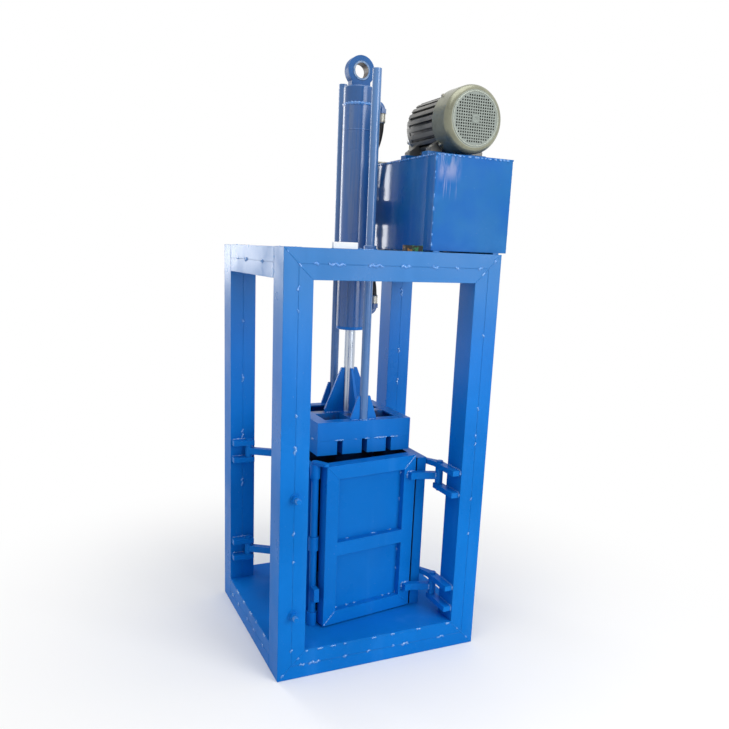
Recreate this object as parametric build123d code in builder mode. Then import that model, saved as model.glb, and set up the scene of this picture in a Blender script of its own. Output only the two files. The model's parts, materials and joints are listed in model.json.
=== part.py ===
from build123d import *
import os
from math import atan2, cos, hypot, radians, sin, tan

os.makedirs("parts", exist_ok=True)

# Small vertical recycling baler, in millimetres. Z is up, the front is -Y, and the origin
# is on the floor at the middle of the frame's footprint.

# Frame: box members, each of two channels welded toe to toe
frame_width = 800.0
frame_depth = 745.0
frame_height = 1493.0
channel_flange = 50.0
channel_web = 100.0
channel_wall = 5.0
seam_width = 2.0
seam_depth = 0.8

# Clearances and the overrun that every through cut shares
fit_gap = 0.3
overrun = 2.0

# Room between the posts and the chamber walls
left_wall_room = 66.0
right_wall_room = 46.0
front_wall_room = 84.5
rear_wall_room = 22.5

# Floor
base_thickness = 6.0
bearer_pitch = 180.0

# Head that carries the cylinder and the guide bushes
head_thickness = 20.0
head_margin = 28.0
cross_web = 80.0
cross_flange = 45.0
cross_wall = 6.0
cross_spread = 125.0

# Guide rods and their bushes
guide_diameter = 32.0
guide_wall = 5.0
guide_edge = 22.0
guide_rise = 36.0
bush_wall = 7.0
bush_rise = 15.0
bush_drop = 40.0

# Hydraulic cylinder
barrel_diameter = 110.0
barrel_bore = 90.0
barrel_length = 797.0
barrel_drop = 289.0
gland_flange = 12.0
gland_length = 30.0
spigot_length = 10.0
cap_height = 61.0
eye_outer = 102.0
eye_thickness = 36.0
eye_rise = 54.0
eye_neck = 72.0
eye_bush_outer = 65.0
eye_bush_bore = 51.0
eye_bush_proud = 1.5
port_bore = 12.0
upper_port_rise = 14.0
lower_port_rise = 54.0

# Elbows screwed into the two ports
elbow_diameter = 24.0
elbow_reach = 96.0
elbow_bend = 22.0
elbow_drop = 32.0
elbow_nut_flats = 30.0
elbow_nut_height = 16.0

# Ram
rod_diameter = 40.0
piston_length = 60.0
piston_rest = 534.0
piston_groove_width = 8.0
piston_groove_depth = 4.0
ram_clear = 150.0
ring_height = 70.0
ring_flange = 45.0
ring_wall = 6.0
spine_width = 90.0
rib_width = 45.0
platen_cross_wall = 6.0
shoe_height = 55.0
shoe_wall = 6.0
shoe_count = 4
strap_slot = 22.0
rod_gusset_reach = 78.0
rod_gusset_height = 175.0
rod_gusset_toe = 12.0
rod_gusset_thickness = 10.0
guide_gusset_reach = 36.0
guide_gusset_height = 90.0
guide_gusset_toe = 8.0
guide_gusset_thickness = 8.0

# Bale chamber: folded trays with inward lips on their outer sides
platen_side_gap = 13.0
platen_end_gap = 4.0
wall_depth = 40.0
wall_sheet = 5.0
wall_lip = 50.0
wall_clear = 24.0
wall_rail = 50.0

# Front door, standing ajar
door_ajar = 8.0
door_thickness = 46.0
door_skin_thickness = 5.0
door_panel_inset = 25.0
door_panel_thickness = 4.0
door_member = 52.0
door_wall = 5.0
door_rise = 10.0
door_rail_share = 0.481
door_foot_gap = 6.0
door_hinge_gap = 4.0
door_lock_gap = 12.0

# Door hinges on the front right post
lug_reach = 32.0
lug_thickness = 20.0
lug_inset = 8.0
lug_overhang = 47.0
lug_pin_overhang = 32.0
lug_pin_setback = 16.0
lug_space = 65.0
upper_hinge_drop = 60.0
lower_hinge_lift = 93.0
knuckle_diameter = 30.0
knuckle_gap = 0.5
arm_side = 26.0
arm_lap = 32.0
arm_edge_inset = 6.0
arm_bend = 30.0
pin_diameter = 16.0
pin_gap = 0.3
pin_head_diameter = 25.0
pin_head_height = 6.0
pin_tail = 8.0
stay_width = 30.0
stay_setback = 8.0

# Left wall: pinned at the rear left post, bolted at the front left post
wall_lug_reach = 38.0
wall_lug_length = 86.0
wall_lug_inset = 4.0
wall_lug_pin_inset = 20.0
wall_lug_space = 50.0
wall_pin_setback = 22.0
wall_arm_side = 26.0
wall_arm_landing = 24.0
upper_clamp_drop = 46.0
lower_clamp_lift = 140.0
bracket_width = 64.0
bracket_height = 60.0
bracket_thickness = 10.0
bracket_bar = 26.0
bracket_landing = 22.0
bolt_inset = 54.0
bolt_diameter = 18.0
bolt_clearance = 0.6
bolt_head_flats = 27.0
bolt_head_height = 10.0
bolt_nut_height = 15.0
bolt_tail = 20.0
washer_diameter = 37.0
washer_thickness = 3.0

# Lock bar in front of the left wall
lock_diameter = 27.0
lock_hook_gap = 1.5
lock_hook_thickness = 10.0
lock_hook_width = 26.0
lock_hook_reach = 46.0
lock_hook_turn = -59.0
lock_gap = 0.3
lock_inset = 21.0
lock_sleeve_wall = 5.0
lock_sleeve_length = 53.0
lock_middle_share = 0.475
lock_saddle = 20.0
lock_lug_lift = 107.0
lock_lug_height = 53.0
lock_lug_reach = 46.0
lock_lug_width = 20.0

# Oil tank on the right of the frame top
tank_room = 61.0
tank_length = 600.0
tank_height = 310.0
tank_sheet = 4.0
tank_overhang = 32.0
tank_setback = 20.0
tank_corner = 4.0
lid_thickness = 5.0
lid_lap = 0.5
runner_height = 5.0
runner_width = 24.0
runner_inset = 10.0
breather_neck = 30.0
breather_cap_diameter = 46.0
breather_neck_height = 12.0
breather_cap_height = 22.0
breather_inset = 45.0
breather_ribs = 16
breather_rib_depth = 2.0

# Motor on the tank
motor_rail_height = 18.0
motor_rail_width = 40.0
motor_rail_length = 236.0
shaft_height = 100.0
motor_setback = 2.5
motor_shift = 10.0
cover_diameter = 220.0
cover_length = 100.0
cover_sheet = 2.5
cover_shoulder = 24.0
grille_pitch = 9.0
grille_hole = 5.0
grille_radius = 78.0
grille_hub = 17.0
motor_diameter = 196.0
motor_length = 205.0
motor_bore = 100.0
fin_count = 24
fin_gap = 11.0
fin_depth = 12.0
foot_spread = 82.0
foot_width = 44.0
foot_thickness = 12.0
foot_web = 18.0
foot_length = 36.0
foot_inset = 6.0
shield_diameter = 176.0
shield_thickness = 18.0
shield_spigot = 8.0
boss_width = 16.0
boss_count = 4
bearing_gap = 0.2
shaft_diameter = 28.0
rotor_gap = 1.0
rotor_length = 150.0
fan_diameter = 176.0
fan_hub = 64.0
fan_width = 40.0
fan_disc = 4.0
fan_blade = 4.0
fan_blades = 7
fan_inset = 16.0
box_pad_width = 70.0
box_pad_height = 60.0
box_pad_rise = 6.0
terminal_box_reach = 44.0
terminal_box_length = 96.0
terminal_box_height = 84.0
terminal_box_corner = 6.0
terminal_lid = 8.0

# Gear pump on the drive end, and its pipes
lantern_diameter = 120.0
lantern_bore = 70.0
lantern_length = 42.0
pump_width = 70.0
pump_height = 84.0
pump_length = 56.0
pump_corner = 18.0
pump_socket = 24.0
suction_diameter = 24.0
pipe_diameter = 14.0
pipe_bend = 24.0
pipe_run_back = 36.0
pipe_clear = 8.0

# Hand valve on the tank's left wall
valve_width = 84.0
valve_length = 90.0
valve_height = 90.0
valve_lift = 95.0
valve_setback = 126.5
valve_corner = 5.0
valve_port_spread = 22.0
nipple_diameter = 22.0
nipple_length = 16.0
clevis_thickness = 8.0
clevis_reach = 26.0
clevis_height = 28.0
lever_thickness = 12.0
lever_pin = 8.0
lever_gap = 0.4
lever_eye = 22.0
lever_diameter = 11.0
lever_length = 150.0
lever_lean = 14.0
lever_knob = 32.0

# Terminal strip on the front top beam
strip_length = 66.0
strip_width = 22.0
strip_height = 20.0
strip_setback = 42.0
strip_gap = 24.0
strip_ways = 4
strip_way_depth = 8.0
strip_wall = 3.0

# Hoses: the route of each from its elbow to the valve, as steps from the press axis and the frame top
hose_diameter = 20.0
hose_hole = 44.0
upper_hose_route = [
    (96.0, 0.0, 490.0), (96.0, 0.0, 446.0), (94.0, 11.0, 400.0), (89.0, 34.0, 360.0),
    (82.0, 67.0, 329.0), (77.0, 91.0, 291.0), (74.0, 104.5, 248.0), (74.0, 104.5, 206.0),
]
lower_hose_route = [
    (96.0, 0.0, -203.0), (96.0, 0.0, -158.0), (93.5, 12.0, -113.0), (88.5, 35.0, -74.0),
    (82.0, 67.0, -43.0), (77.0, 91.0, -3.0), (74.0, 104.5, 41.0), (74.0, 104.5, 84.0),
]

# Places that follow from the sizes above
post_face = 2 * channel_flange
left_x = -frame_width / 2
right_x = frame_width / 2
front_y = -frame_depth / 2
rear_y = frame_depth / 2
bay_start = front_y + channel_web
bay_length = frame_depth - 2 * channel_web
base_top = post_face + base_thickness
bearer_length = frame_width - 2 * post_face

left_wall_outer = left_x + post_face + left_wall_room
right_wall_outer = right_x - post_face - right_wall_room
wall_front = front_y + channel_web + front_wall_room
chamber_left = left_wall_outer + wall_depth
chamber_right = right_wall_outer - wall_depth
chamber_front = wall_front + door_thickness
chamber_rear = rear_y - channel_web - rear_wall_room - wall_depth
chamber_width = chamber_right - chamber_left
chamber_depth = chamber_rear - chamber_front
press_x = (chamber_left + chamber_right) / 2
press_y = (chamber_front + chamber_rear) / 2
platen_width = chamber_width - 2 * platen_side_gap
platen_depth = chamber_depth - 2 * platen_end_gap
shoe_width = (platen_width - (shoe_count - 1) * strap_slot) / shoe_count

cross_top = frame_height - head_thickness
guide_spread = platen_depth / 2 - guide_edge
bush_diameter = guide_diameter + 2 * fit_gap + 2 * bush_wall
bush_bottom = cross_top - bush_drop
bush_length = frame_height + bush_rise - bush_bottom
head_width = 2 * (cross_spread + cross_flange)
head_depth = 2 * guide_spread + bush_diameter + 2 * head_margin

barrel_bottom = frame_height - barrel_drop
barrel_top = barrel_bottom + barrel_length
cap_top = barrel_top + cap_height
eye_z = cap_top + eye_rise
upper_port_z = barrel_top + upper_port_rise
lower_port_z = barrel_bottom + lower_port_rise

platen_top = barrel_bottom - gland_flange - ram_clear - rod_gusset_height
guide_length = cap_top + guide_rise - platen_top
ring_bottom = platen_top - ring_height
platen_bottom = ring_bottom - shoe_height
piston_bottom = barrel_bottom + gland_length + piston_rest - fit_gap

wall_top = platen_bottom - wall_clear
wall_height = wall_top - base_top

hinge_x = right_x - post_face - lug_pin_setback
hinge_y = front_y + channel_web + lug_pin_overhang
upper_hinge_z = wall_top - upper_hinge_drop
lower_hinge_z = base_top + lower_hinge_lift
lug_front = front_y + lug_inset
lug_rear = front_y + channel_web + lug_overhang

door_width = chamber_width - door_hinge_gap - door_lock_gap
door_right = chamber_right - door_hinge_gap - hinge_x
door_middle = door_right - door_width / 2
door_face = wall_front - hinge_y
door_bottom = base_top + door_foot_gap
door_height = wall_height + door_rise
door_rail_lift = door_rail_share * door_height
door_frame_depth = door_thickness - door_skin_thickness

upper_clamp_z = wall_top - upper_clamp_drop
lower_clamp_z = base_top + lower_clamp_lift
rear_post_front = rear_y - channel_web
wall_pin_x = left_x + wall_lug_inset + wall_lug_length - wall_lug_pin_inset
wall_pin_y = rear_post_front - wall_pin_setback
bolt_x = left_x + bolt_inset
front_post_rear = front_y + channel_web

lock_x = left_wall_outer + lock_inset
lock_sleeve_diameter = lock_diameter + 2 * lock_gap + 2 * lock_sleeve_wall
lock_y = wall_front - lock_sleeve_diameter / 2
lock_hook_z = door_bottom + door_height + lock_hook_gap
lock_height = lock_hook_z - base_top - lock_gap
lock_middle_lift = lock_middle_share * lock_height

tank_right = right_x + tank_overhang
tank_left = press_x + barrel_diameter / 2 + tank_room
tank_width = tank_right - tank_left
tank_middle = (tank_left + tank_right) / 2
tank_front = front_y + tank_setback
tank_rear = tank_front + tank_length
tank_bottom = frame_height + runner_height
lid_top = tank_bottom + tank_height + lid_thickness

motor_x = tank_middle - motor_shift
motor_z = lid_top + motor_rail_height + shaft_height
cover_front = tank_front + motor_setback
cover_rear = cover_front + cover_length
motor_rear = cover_rear + motor_length
lantern_front = motor_rear + shield_thickness
pump_front = lantern_front + lantern_length
pump_rear = pump_front + pump_length

valve_bottom = tank_bottom + valve_lift
valve_top = valve_bottom + valve_height
valve_middle = press_y + valve_setback
valve_rear = valve_middle + valve_length / 2
valve_x = tank_left - valve_width / 2
valve_z = valve_bottom + valve_height / 2


def save(builder, name):
    builder.part.label = name
    export_step(builder.part, f"parts/{name}.step")


def mitred_member(name, corner, along, normal, length, holes=()):
    """Box member of two channels, mitred at both ends, with its outer edge along the given line."""
    base = Plane(origin=corner, x_dir=along, z_dir=normal)
    wall = channel_wall
    far = post_face - wall
    with BuildPart() as member:
        with BuildSketch(base):
            with BuildLine():
                Polyline(
                    (0, 0), (length, 0), (length - post_face, post_face), (post_face, post_face),
                    close=True,
                )
            make_face()
        extrude(amount=channel_web)
        with BuildSketch(base.offset(wall)):
            with BuildLine():
                Polyline((wall, wall), (length - wall, wall), (length - far, far), (far, far), close=True)
            make_face()
        extrude(amount=channel_web - 2 * wall, mode=Mode.SUBTRACT)
        for height in (0, channel_web - seam_depth):
            with BuildSketch(base.offset(height)):
                with Locations((length / 2, channel_flange)):
                    Rectangle(length - post_face, seam_width)
            extrude(amount=seam_depth, mode=Mode.SUBTRACT)
        if holes:
            with BuildSketch(base):
                with Locations(*holes):
                    Circle(bolt_diameter / 2 + bolt_clearance)
            extrude(amount=channel_web, mode=Mode.SUBTRACT)
    save(member, name)


def side_beam(name, x, z):
    """Box member of two channels that butts between the front and the rear portal."""
    with BuildPart() as beam:
        with BuildSketch(Plane(origin=(x, bay_start, z), x_dir=(1, 0, 0), z_dir=(0, 1, 0))):
            Rectangle(post_face, post_face)
            Rectangle(post_face - 2 * channel_wall, post_face - 2 * channel_wall, mode=Mode.SUBTRACT)
            with Locations((-post_face / 2, 0), (post_face / 2, 0)):
                Rectangle(2 * seam_depth, seam_width, mode=Mode.SUBTRACT)
        extrude(amount=bay_length)
    save(beam, name)


# Frame members
bolt_holes = [(upper_clamp_z, bolt_inset), (lower_clamp_z, bolt_inset)]
for end, near_y in (("front", front_y), ("rear", rear_y - channel_web)):
    far_y = near_y + channel_web
    holes = bolt_holes if end == "front" else ()
    mitred_member(f"{end}_left_post", (left_x, near_y, 0), (0, 0, 1), (0, 1, 0), frame_height, holes)
    mitred_member(f"{end}_right_post", (right_x, far_y, 0), (0, 0, 1), (0, -1, 0), frame_height)
    mitred_member(f"{end}_bottom_beam", (left_x, far_y, 0), (1, 0, 0), (0, -1, 0), frame_width)
    mitred_member(f"{end}_top_beam", (left_x, near_y, frame_height), (1, 0, 0), (0, 1, 0), frame_width)
for side, beam_x in (("left", left_x + post_face / 2), ("right", right_x - post_face / 2)):
    side_beam(f"{side}_bottom_beam", beam_x, post_face / 2)
    side_beam(f"{side}_top_beam", beam_x, frame_height - post_face / 2)

# Floor bearers: three channels across the frame, the middle one over the origin
bearer_places = (-bearer_pitch, 0, bearer_pitch)
with BuildPart() as floor_bearers:
    with BuildSketch(Plane.YZ.offset(-bearer_length / 2)):
        with Locations(*[(place, post_face / 2) for place in bearer_places]):
            Rectangle(channel_flange, post_face)
        with Locations(*[(place + channel_wall, post_face / 2) for place in bearer_places]):
            Rectangle(channel_flange, post_face - 2 * channel_wall, mode=Mode.SUBTRACT)
    extrude(amount=bearer_length)
save(floor_bearers, "floor_bearers")

# Base plate, notched round the posts
with BuildPart() as base_plate:
    with BuildSketch(Plane.XY.offset(post_face)):
        Rectangle(frame_width, frame_depth)
        with GridLocations(frame_width - post_face, frame_depth - channel_web, 2, 2):
            Rectangle(post_face + 2 * fit_gap, channel_web + 2 * fit_gap, mode=Mode.SUBTRACT)
    extrude(amount=base_thickness)
save(base_plate, "base_plate")

# Cross beams of the head: two channels, webs towards the cylinder
cross_plane = Plane(
    origin=(press_x, bay_start, cross_top - cross_web / 2), x_dir=(1, 0, 0), z_dir=(0, 1, 0)
)
with BuildPart() as top_cross_beams:
    with BuildSketch(cross_plane):
        for side in (-1, 1):
            with Locations((side * (cross_spread + cross_flange / 2), 0)):
                Rectangle(cross_flange, cross_web)
            with Locations((side * (cross_spread + cross_flange / 2 + cross_wall), 0)):
                Rectangle(cross_flange, cross_web - 2 * cross_wall, mode=Mode.SUBTRACT)
    extrude(amount=bay_length)
save(top_cross_beams, "top_cross_beams")

# Head plate, flush with the frame top
guide_places = [(press_x, press_y - guide_spread), (press_x, press_y + guide_spread)]
below_head, above_head = lower_hose_route[4:6]
head_share = (-head_thickness / 2 - below_head[2]) / (above_head[2] - below_head[2])
hose_hole_x = press_x + below_head[0] + head_share * (above_head[0] - below_head[0])
hose_hole_y = press_y + below_head[1] + head_share * (above_head[1] - below_head[1])
with BuildPart() as head_plate:
    with BuildSketch(Plane.XY.offset(cross_top)):
        with Locations((press_x, press_y)):
            Rectangle(head_width, head_depth)
            Circle(barrel_diameter / 2 + fit_gap, mode=Mode.SUBTRACT)
        with Locations(*guide_places):
            Circle(bush_diameter / 2 + fit_gap, mode=Mode.SUBTRACT)
        with Locations((hose_hole_x, hose_hole_y)):
            Circle(hose_hole / 2, mode=Mode.SUBTRACT)
    extrude(amount=head_thickness)
save(head_plate, "head_plate")

# Guide bushes, with collars that stand above the head plate
with BuildPart() as guide_bushes:
    with BuildSketch(Plane.XY.offset(bush_bottom)):
        with Locations(*guide_places):
            Circle(bush_diameter / 2)
            Circle(guide_diameter / 2 + fit_gap, mode=Mode.SUBTRACT)
    extrude(amount=bush_length)
    chamfer(guide_bushes.faces().sort_by(Axis.Z)[-2:].edges(), length=bush_wall / 4)
save(guide_bushes, "guide_bushes")

# Cylinder barrel with its lower port
with BuildPart() as cylinder_barrel:
    with BuildSketch(Plane.XY.offset(barrel_bottom)):
        with Locations((press_x, press_y)):
            Circle(barrel_diameter / 2)
            Circle(barrel_bore / 2, mode=Mode.SUBTRACT)
    extrude(amount=barrel_length)
    with BuildSketch(Plane.YZ.offset(press_x)):
        with Locations((press_y, lower_port_z)):
            Circle(port_bore / 2)
    extrude(amount=barrel_diameter / 2 + overrun, mode=Mode.SUBTRACT)
save(cylinder_barrel, "cylinder_barrel")

# Gland that closes the lower end round the piston rod
with BuildPart() as cylinder_gland:
    with BuildSketch(Plane.XY.offset(barrel_bottom - gland_flange)):
        with Locations((press_x, press_y)):
            Circle(barrel_diameter / 2)
    extrude(amount=gland_flange)
    with BuildSketch(Plane.XY.offset(barrel_bottom)):
        with Locations((press_x, press_y)):
            Circle(barrel_bore / 2 - fit_gap)
    extrude(amount=gland_length)
    with BuildSketch(Plane.XY.offset(barrel_bottom - gland_flange)):
        with Locations((press_x, press_y)):
            Circle(rod_diameter / 2 + fit_gap)
    extrude(amount=gland_flange + gland_length, mode=Mode.SUBTRACT)
    chamfer(cylinder_gland.faces().sort_by(Axis.Z)[0].outer_wire().edges(), length=gland_flange / 4)
save(cylinder_gland, "cylinder_gland")

# End cap with the eye
eye_plane = Plane(origin=(press_x, press_y, eye_z), x_dir=(1, 0, 0), z_dir=(0, -1, 0))
with BuildPart() as cylinder_cap:
    with BuildSketch(Plane.XY.offset(barrel_top - spigot_length)):
        with Locations((press_x, press_y)):
            Circle(barrel_bore / 2 - fit_gap)
    extrude(amount=spigot_length)
    with BuildSketch(Plane.XY.offset(barrel_top)):
        with Locations((press_x, press_y)):
            Circle(barrel_diameter / 2)
    extrude(amount=cap_height)
    chamfer(cylinder_cap.faces().sort_by(Axis.Z)[-1].edges(), length=cap_height / 15)
    with BuildSketch(eye_plane):
        Circle(eye_outer / 2)
        with Locations((0, -eye_rise / 2)):
            Rectangle(eye_neck, eye_rise)
    extrude(amount=eye_thickness / 2, both=True)
    with BuildSketch(eye_plane):
        Circle(eye_bush_outer / 2 + fit_gap)
    extrude(amount=eye_thickness / 2, both=True, mode=Mode.SUBTRACT)
    with BuildSketch(Plane.YZ.offset(press_x)):
        with Locations((press_y, upper_port_z)):
            Circle(port_bore / 2)
    extrude(amount=barrel_diameter / 2 + overrun, mode=Mode.SUBTRACT)
    with BuildSketch(Plane.XY.offset(barrel_top - spigot_length)):
        with Locations((press_x, press_y)):
            Circle(port_bore / 2)
    extrude(amount=spigot_length + upper_port_rise, mode=Mode.SUBTRACT)
save(cylinder_cap, "cylinder_cap")

# Bush in the eye
with BuildPart() as eye_bush:
    with BuildSketch(eye_plane):
        Circle(eye_bush_outer / 2)
        Circle(eye_bush_bore / 2, mode=Mode.SUBTRACT)
    extrude(amount=eye_thickness / 2 + eye_bush_proud, both=True)
save(eye_bush, "eye_bush")

# Port elbows: bent stubs that turn along the cylinder, with a hexagon at the hose end
elbow_x = press_x + elbow_reach
with BuildPart() as port_elbows:
    for port_z, turn in ((upper_port_z, -1), (lower_port_z, 1)):
        with BuildLine() as elbow_path:
            FilletPolyline(
                (press_x + barrel_diameter / 2 - overrun, press_y, port_z),
                (elbow_x, press_y, port_z),
                (elbow_x, press_y, port_z + turn * elbow_drop),
                radius=elbow_bend,
            )
        with BuildSketch(Plane(origin=elbow_path.line @ 0, z_dir=elbow_path.line % 0)):
            Circle(elbow_diameter / 2)
        sweep(path=elbow_path.line)
        with BuildSketch(Plane.XY.offset(port_z + turn * elbow_drop)):
            with Locations((elbow_x, press_y)):
                RegularPolygon(elbow_nut_flats / 2, 6, major_radius=False)
        extrude(amount=-turn * elbow_nut_height)
    with BuildSketch(Plane.XY.offset(barrel_bottom)):
        with Locations((press_x, press_y)):
            Circle(barrel_diameter / 2 + fit_gap)
    extrude(amount=barrel_length + cap_height, mode=Mode.SUBTRACT)
save(port_elbows, "port_elbows")


def hose(name, route):
    """Hose as straight runs joined by arcs as large as the runs allow."""
    points = [Vector(press_x, press_y, frame_height) + Vector(*step) for step in route]
    runs = [after - before for before, after in zip(points, points[1:])]
    bend_share = 0.45
    radii = [
        bend_share * min(one.length, two.length) / tan(radians(one.get_angle(two)) / 2)
        for one, two in zip(runs, runs[1:])
    ]
    with BuildPart() as tube:
        with BuildLine() as path:
            FilletPolyline(*points, radius=radii)
        with BuildSketch(Plane(origin=path.line @ 0, z_dir=path.line % 0)):
            Circle(hose_diameter / 2)
        sweep(path=path.line)
    save(tube, name)
    length = sum(edge.length for edge in path.edges())
    print(name, "length", round(length, 1), "radii", [round(radius) for radius in radii])


hose("upper_hose", upper_hose_route)
hose("lower_hose", lower_hose_route)

# Platen: ring of channels, webs outward
with BuildPart() as platen_ring:
    with BuildSketch(Plane.XY.offset(ring_bottom)):
        with Locations((press_x, press_y)):
            Rectangle(platen_width, platen_depth)
            Rectangle(platen_width - 2 * ring_flange, platen_depth - 2 * ring_flange, mode=Mode.SUBTRACT)
    extrude(amount=ring_height)
    with BuildSketch(Plane.XY.offset(ring_bottom + ring_wall)):
        with Locations((press_x, press_y)):
            Rectangle(platen_width - 2 * ring_wall, platen_depth - 2 * ring_wall)
    extrude(amount=ring_height - 2 * ring_wall, mode=Mode.SUBTRACT)
save(platen_ring, "platen_ring")

# Platen cross: a spine under the rods and a rib across it, open below
window_width = platen_width - 2 * ring_flange
window_depth = platen_depth - 2 * ring_flange
with BuildPart() as platen_cross:
    with BuildSketch(Plane.XY.offset(ring_bottom)):
        with Locations((press_x, press_y)):
            Rectangle(spine_width, window_depth)
            Rectangle(window_width, rib_width)
    extrude(amount=ring_height)
    with BuildSketch(Plane.XY.offset(ring_bottom)):
        with Locations((press_x, press_y)):
            Rectangle(spine_width - 2 * platen_cross_wall, window_depth)
            Rectangle(window_width, rib_width - 2 * platen_cross_wall)
    extrude(amount=ring_height - platen_cross_wall, mode=Mode.SUBTRACT)
save(platen_cross, "platen_cross")

# Platen shoes: four channels under the ring, with slots between them for the straps
with BuildPart() as platen_shoes:
    with BuildSketch(Plane.XY.offset(platen_bottom)):
        with Locations((press_x, press_y)):
            with GridLocations(shoe_width + strap_slot, platen_depth, shoe_count, 1):
                Rectangle(shoe_width, platen_depth)
    extrude(amount=shoe_height)
    with BuildSketch(Plane.XY.offset(platen_bottom + shoe_wall)):
        with Locations((press_x, press_y)):
            with GridLocations(shoe_width + strap_slot, platen_depth, shoe_count, 1):
                Rectangle(shoe_width - 2 * shoe_wall, platen_depth - 2 * shoe_wall)
    extrude(amount=shoe_height, mode=Mode.SUBTRACT)
save(platen_shoes, "platen_shoes")

# Piston rod, from the platen spine up to the piston
with BuildPart() as piston_rod:
    with BuildSketch(Plane.XY.offset(platen_top)):
        with Locations((press_x, press_y)):
            Circle(rod_diameter / 2)
    extrude(amount=piston_bottom - platen_top)
save(piston_rod, "piston_rod")

# Piston with two seal grooves
with BuildPart() as piston:
    with BuildSketch(Plane.XY.offset(piston_bottom)):
        with Locations((press_x, press_y)):
            Circle(barrel_bore / 2 - fit_gap)
    extrude(amount=piston_length)
    for groove_share in (0.25, 0.75):
        groove_bottom = piston_bottom + groove_share * piston_length - piston_groove_width / 2
        with BuildSketch(Plane.XY.offset(groove_bottom)):
            with Locations((press_x, press_y)):
                Circle(barrel_bore / 2)
                Circle(barrel_bore / 2 - fit_gap - piston_groove_depth, mode=Mode.SUBTRACT)
        extrude(amount=piston_groove_width, mode=Mode.SUBTRACT)
save(piston, "piston")

# Guide rods: two pipes that stand on the ring, in front of and behind the cylinder
with BuildPart() as guide_rods:
    with BuildSketch(Plane.XY.offset(platen_top)):
        with Locations(*guide_places):
            Circle(guide_diameter / 2)
            Circle(guide_diameter / 2 - guide_wall, mode=Mode.SUBTRACT)
    extrude(amount=guide_length)
save(guide_rods, "guide_rods")


def gusset_profile(x, y, heading, start, reach, height, toe):
    """Tapered outline that stands on the platen beside a rod, in the given direction."""
    out = (cos(radians(heading)), sin(radians(heading)), 0)
    with BuildSketch(Plane(origin=(x, y, platen_top), x_dir=out, z_dir=(out[1], -out[0], 0))) as profile:
        with BuildLine():
            Polyline(
                (start, 0), (start + reach, 0), (start + reach, toe),
                (start + toe, height), (start, height), close=True,
            )
        make_face()
    return profile.sketch


# Gussets at the feet of the piston rod and the guide rods
with BuildPart() as platen_gussets:
    for heading in (0, 90, 180, 270):
        plate = gusset_profile(
            press_x, press_y, heading, rod_diameter / 2 + fit_gap,
            rod_gusset_reach, rod_gusset_height, rod_gusset_toe,
        )
        extrude(plate, amount=rod_gusset_thickness / 2, both=True)
    for guide_x, guide_y in guide_places:
        for heading in (0, 180):
            plate = gusset_profile(
                guide_x, guide_y, heading, guide_diameter / 2 + fit_gap,
                guide_gusset_reach, guide_gusset_height, guide_gusset_toe,
            )
            extrude(plate, amount=guide_gusset_thickness / 2, both=True)
save(platen_gussets, "platen_gussets")


def wall_tray(name, middle, outward, length):
    """Chamber wall: a sheet with folded edges, lips and a rail on its outer side."""
    across = (outward[1], -outward[0], 0)
    inner = Plane(origin=middle, x_dir=across, z_dir=outward)
    pane_height = (wall_height - 2 * wall_lip - wall_rail) / 2
    with BuildPart() as tray:
        with BuildSketch(inner):
            Rectangle(length, wall_height)
        extrude(amount=wall_depth)
        with BuildSketch(inner.offset(wall_sheet)):
            Rectangle(length - 2 * wall_sheet, wall_height - 2 * wall_sheet)
        extrude(amount=wall_depth - 2 * wall_sheet, mode=Mode.SUBTRACT)
        with BuildSketch(inner.offset(wall_sheet)):
            with GridLocations(length, pane_height + wall_rail, 1, 2):
                Rectangle(length - 2 * wall_lip, pane_height)
        extrude(amount=wall_depth, mode=Mode.SUBTRACT)
    save(tray, name)


# Chamber walls on the base plate; the side walls reach forward past the closed door
wall_middle_z = base_top + wall_height / 2
side_length = chamber_rear - wall_front
side_middle_y = (chamber_rear + wall_front) / 2
wall_tray("chamber_right_wall", (chamber_right, side_middle_y, wall_middle_z), (1, 0, 0), side_length)
wall_tray("chamber_left_wall", (chamber_left, side_middle_y, wall_middle_z), (-1, 0, 0), side_length)
rear_length = right_wall_outer - left_wall_outer
wall_tray("chamber_rear_wall", (press_x, chamber_rear, wall_middle_z), (0, 1, 0), rear_length)

# Door axes: along the leaf towards the hinge, and through it towards the chamber
swing = radians(door_ajar)
along_door = (cos(swing), sin(swing), 0)
through_door = (-sin(swing), cos(swing), 0)


def door_plane(x, y, z, facing):
    """Plane at a place in the door's own axes, which start at the hinge."""
    place = Vector(hinge_x, hinge_y, z) + Vector(*along_door) * x + Vector(*through_door) * y
    return Plane(origin=place, x_dir=along_door, z_dir=facing)


door_outward = (sin(swing), -cos(swing), 0)
door_middle_z = door_bottom + door_height / 2
upper_pane = door_height - door_rail_lift - door_member / 2 - door_member
lower_pane = door_rail_lift - door_member / 2 - door_member
pane_places = [
    (door_height / 2 - door_member - upper_pane / 2, upper_pane),
    (door_member + lower_pane / 2 - door_height / 2, lower_pane),
]

# Door frame: channels with their webs outward, and a rail across the middle
with BuildPart() as door_frame:
    frame_back = door_plane(door_middle, door_face + door_frame_depth, door_middle_z, door_outward)
    with BuildSketch(frame_back):
        Rectangle(door_width, door_height)
        for pane_y, pane in pane_places:
            with Locations((0, pane_y)):
                Rectangle(door_width - 2 * door_member, pane, mode=Mode.SUBTRACT)
    extrude(amount=door_frame_depth)
    with BuildSketch(frame_back):
        Rectangle(door_width - 2 * door_wall, door_height - 2 * door_wall)
        for pane_y, pane in pane_places:
            with Locations((0, pane_y)):
                Rectangle(
                    door_width - 2 * door_member + 2 * door_wall, pane + 2 * door_wall, mode=Mode.SUBTRACT
                )
    extrude(amount=door_frame_depth - door_wall, mode=Mode.SUBTRACT)
save(door_frame, "door_frame")

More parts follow.
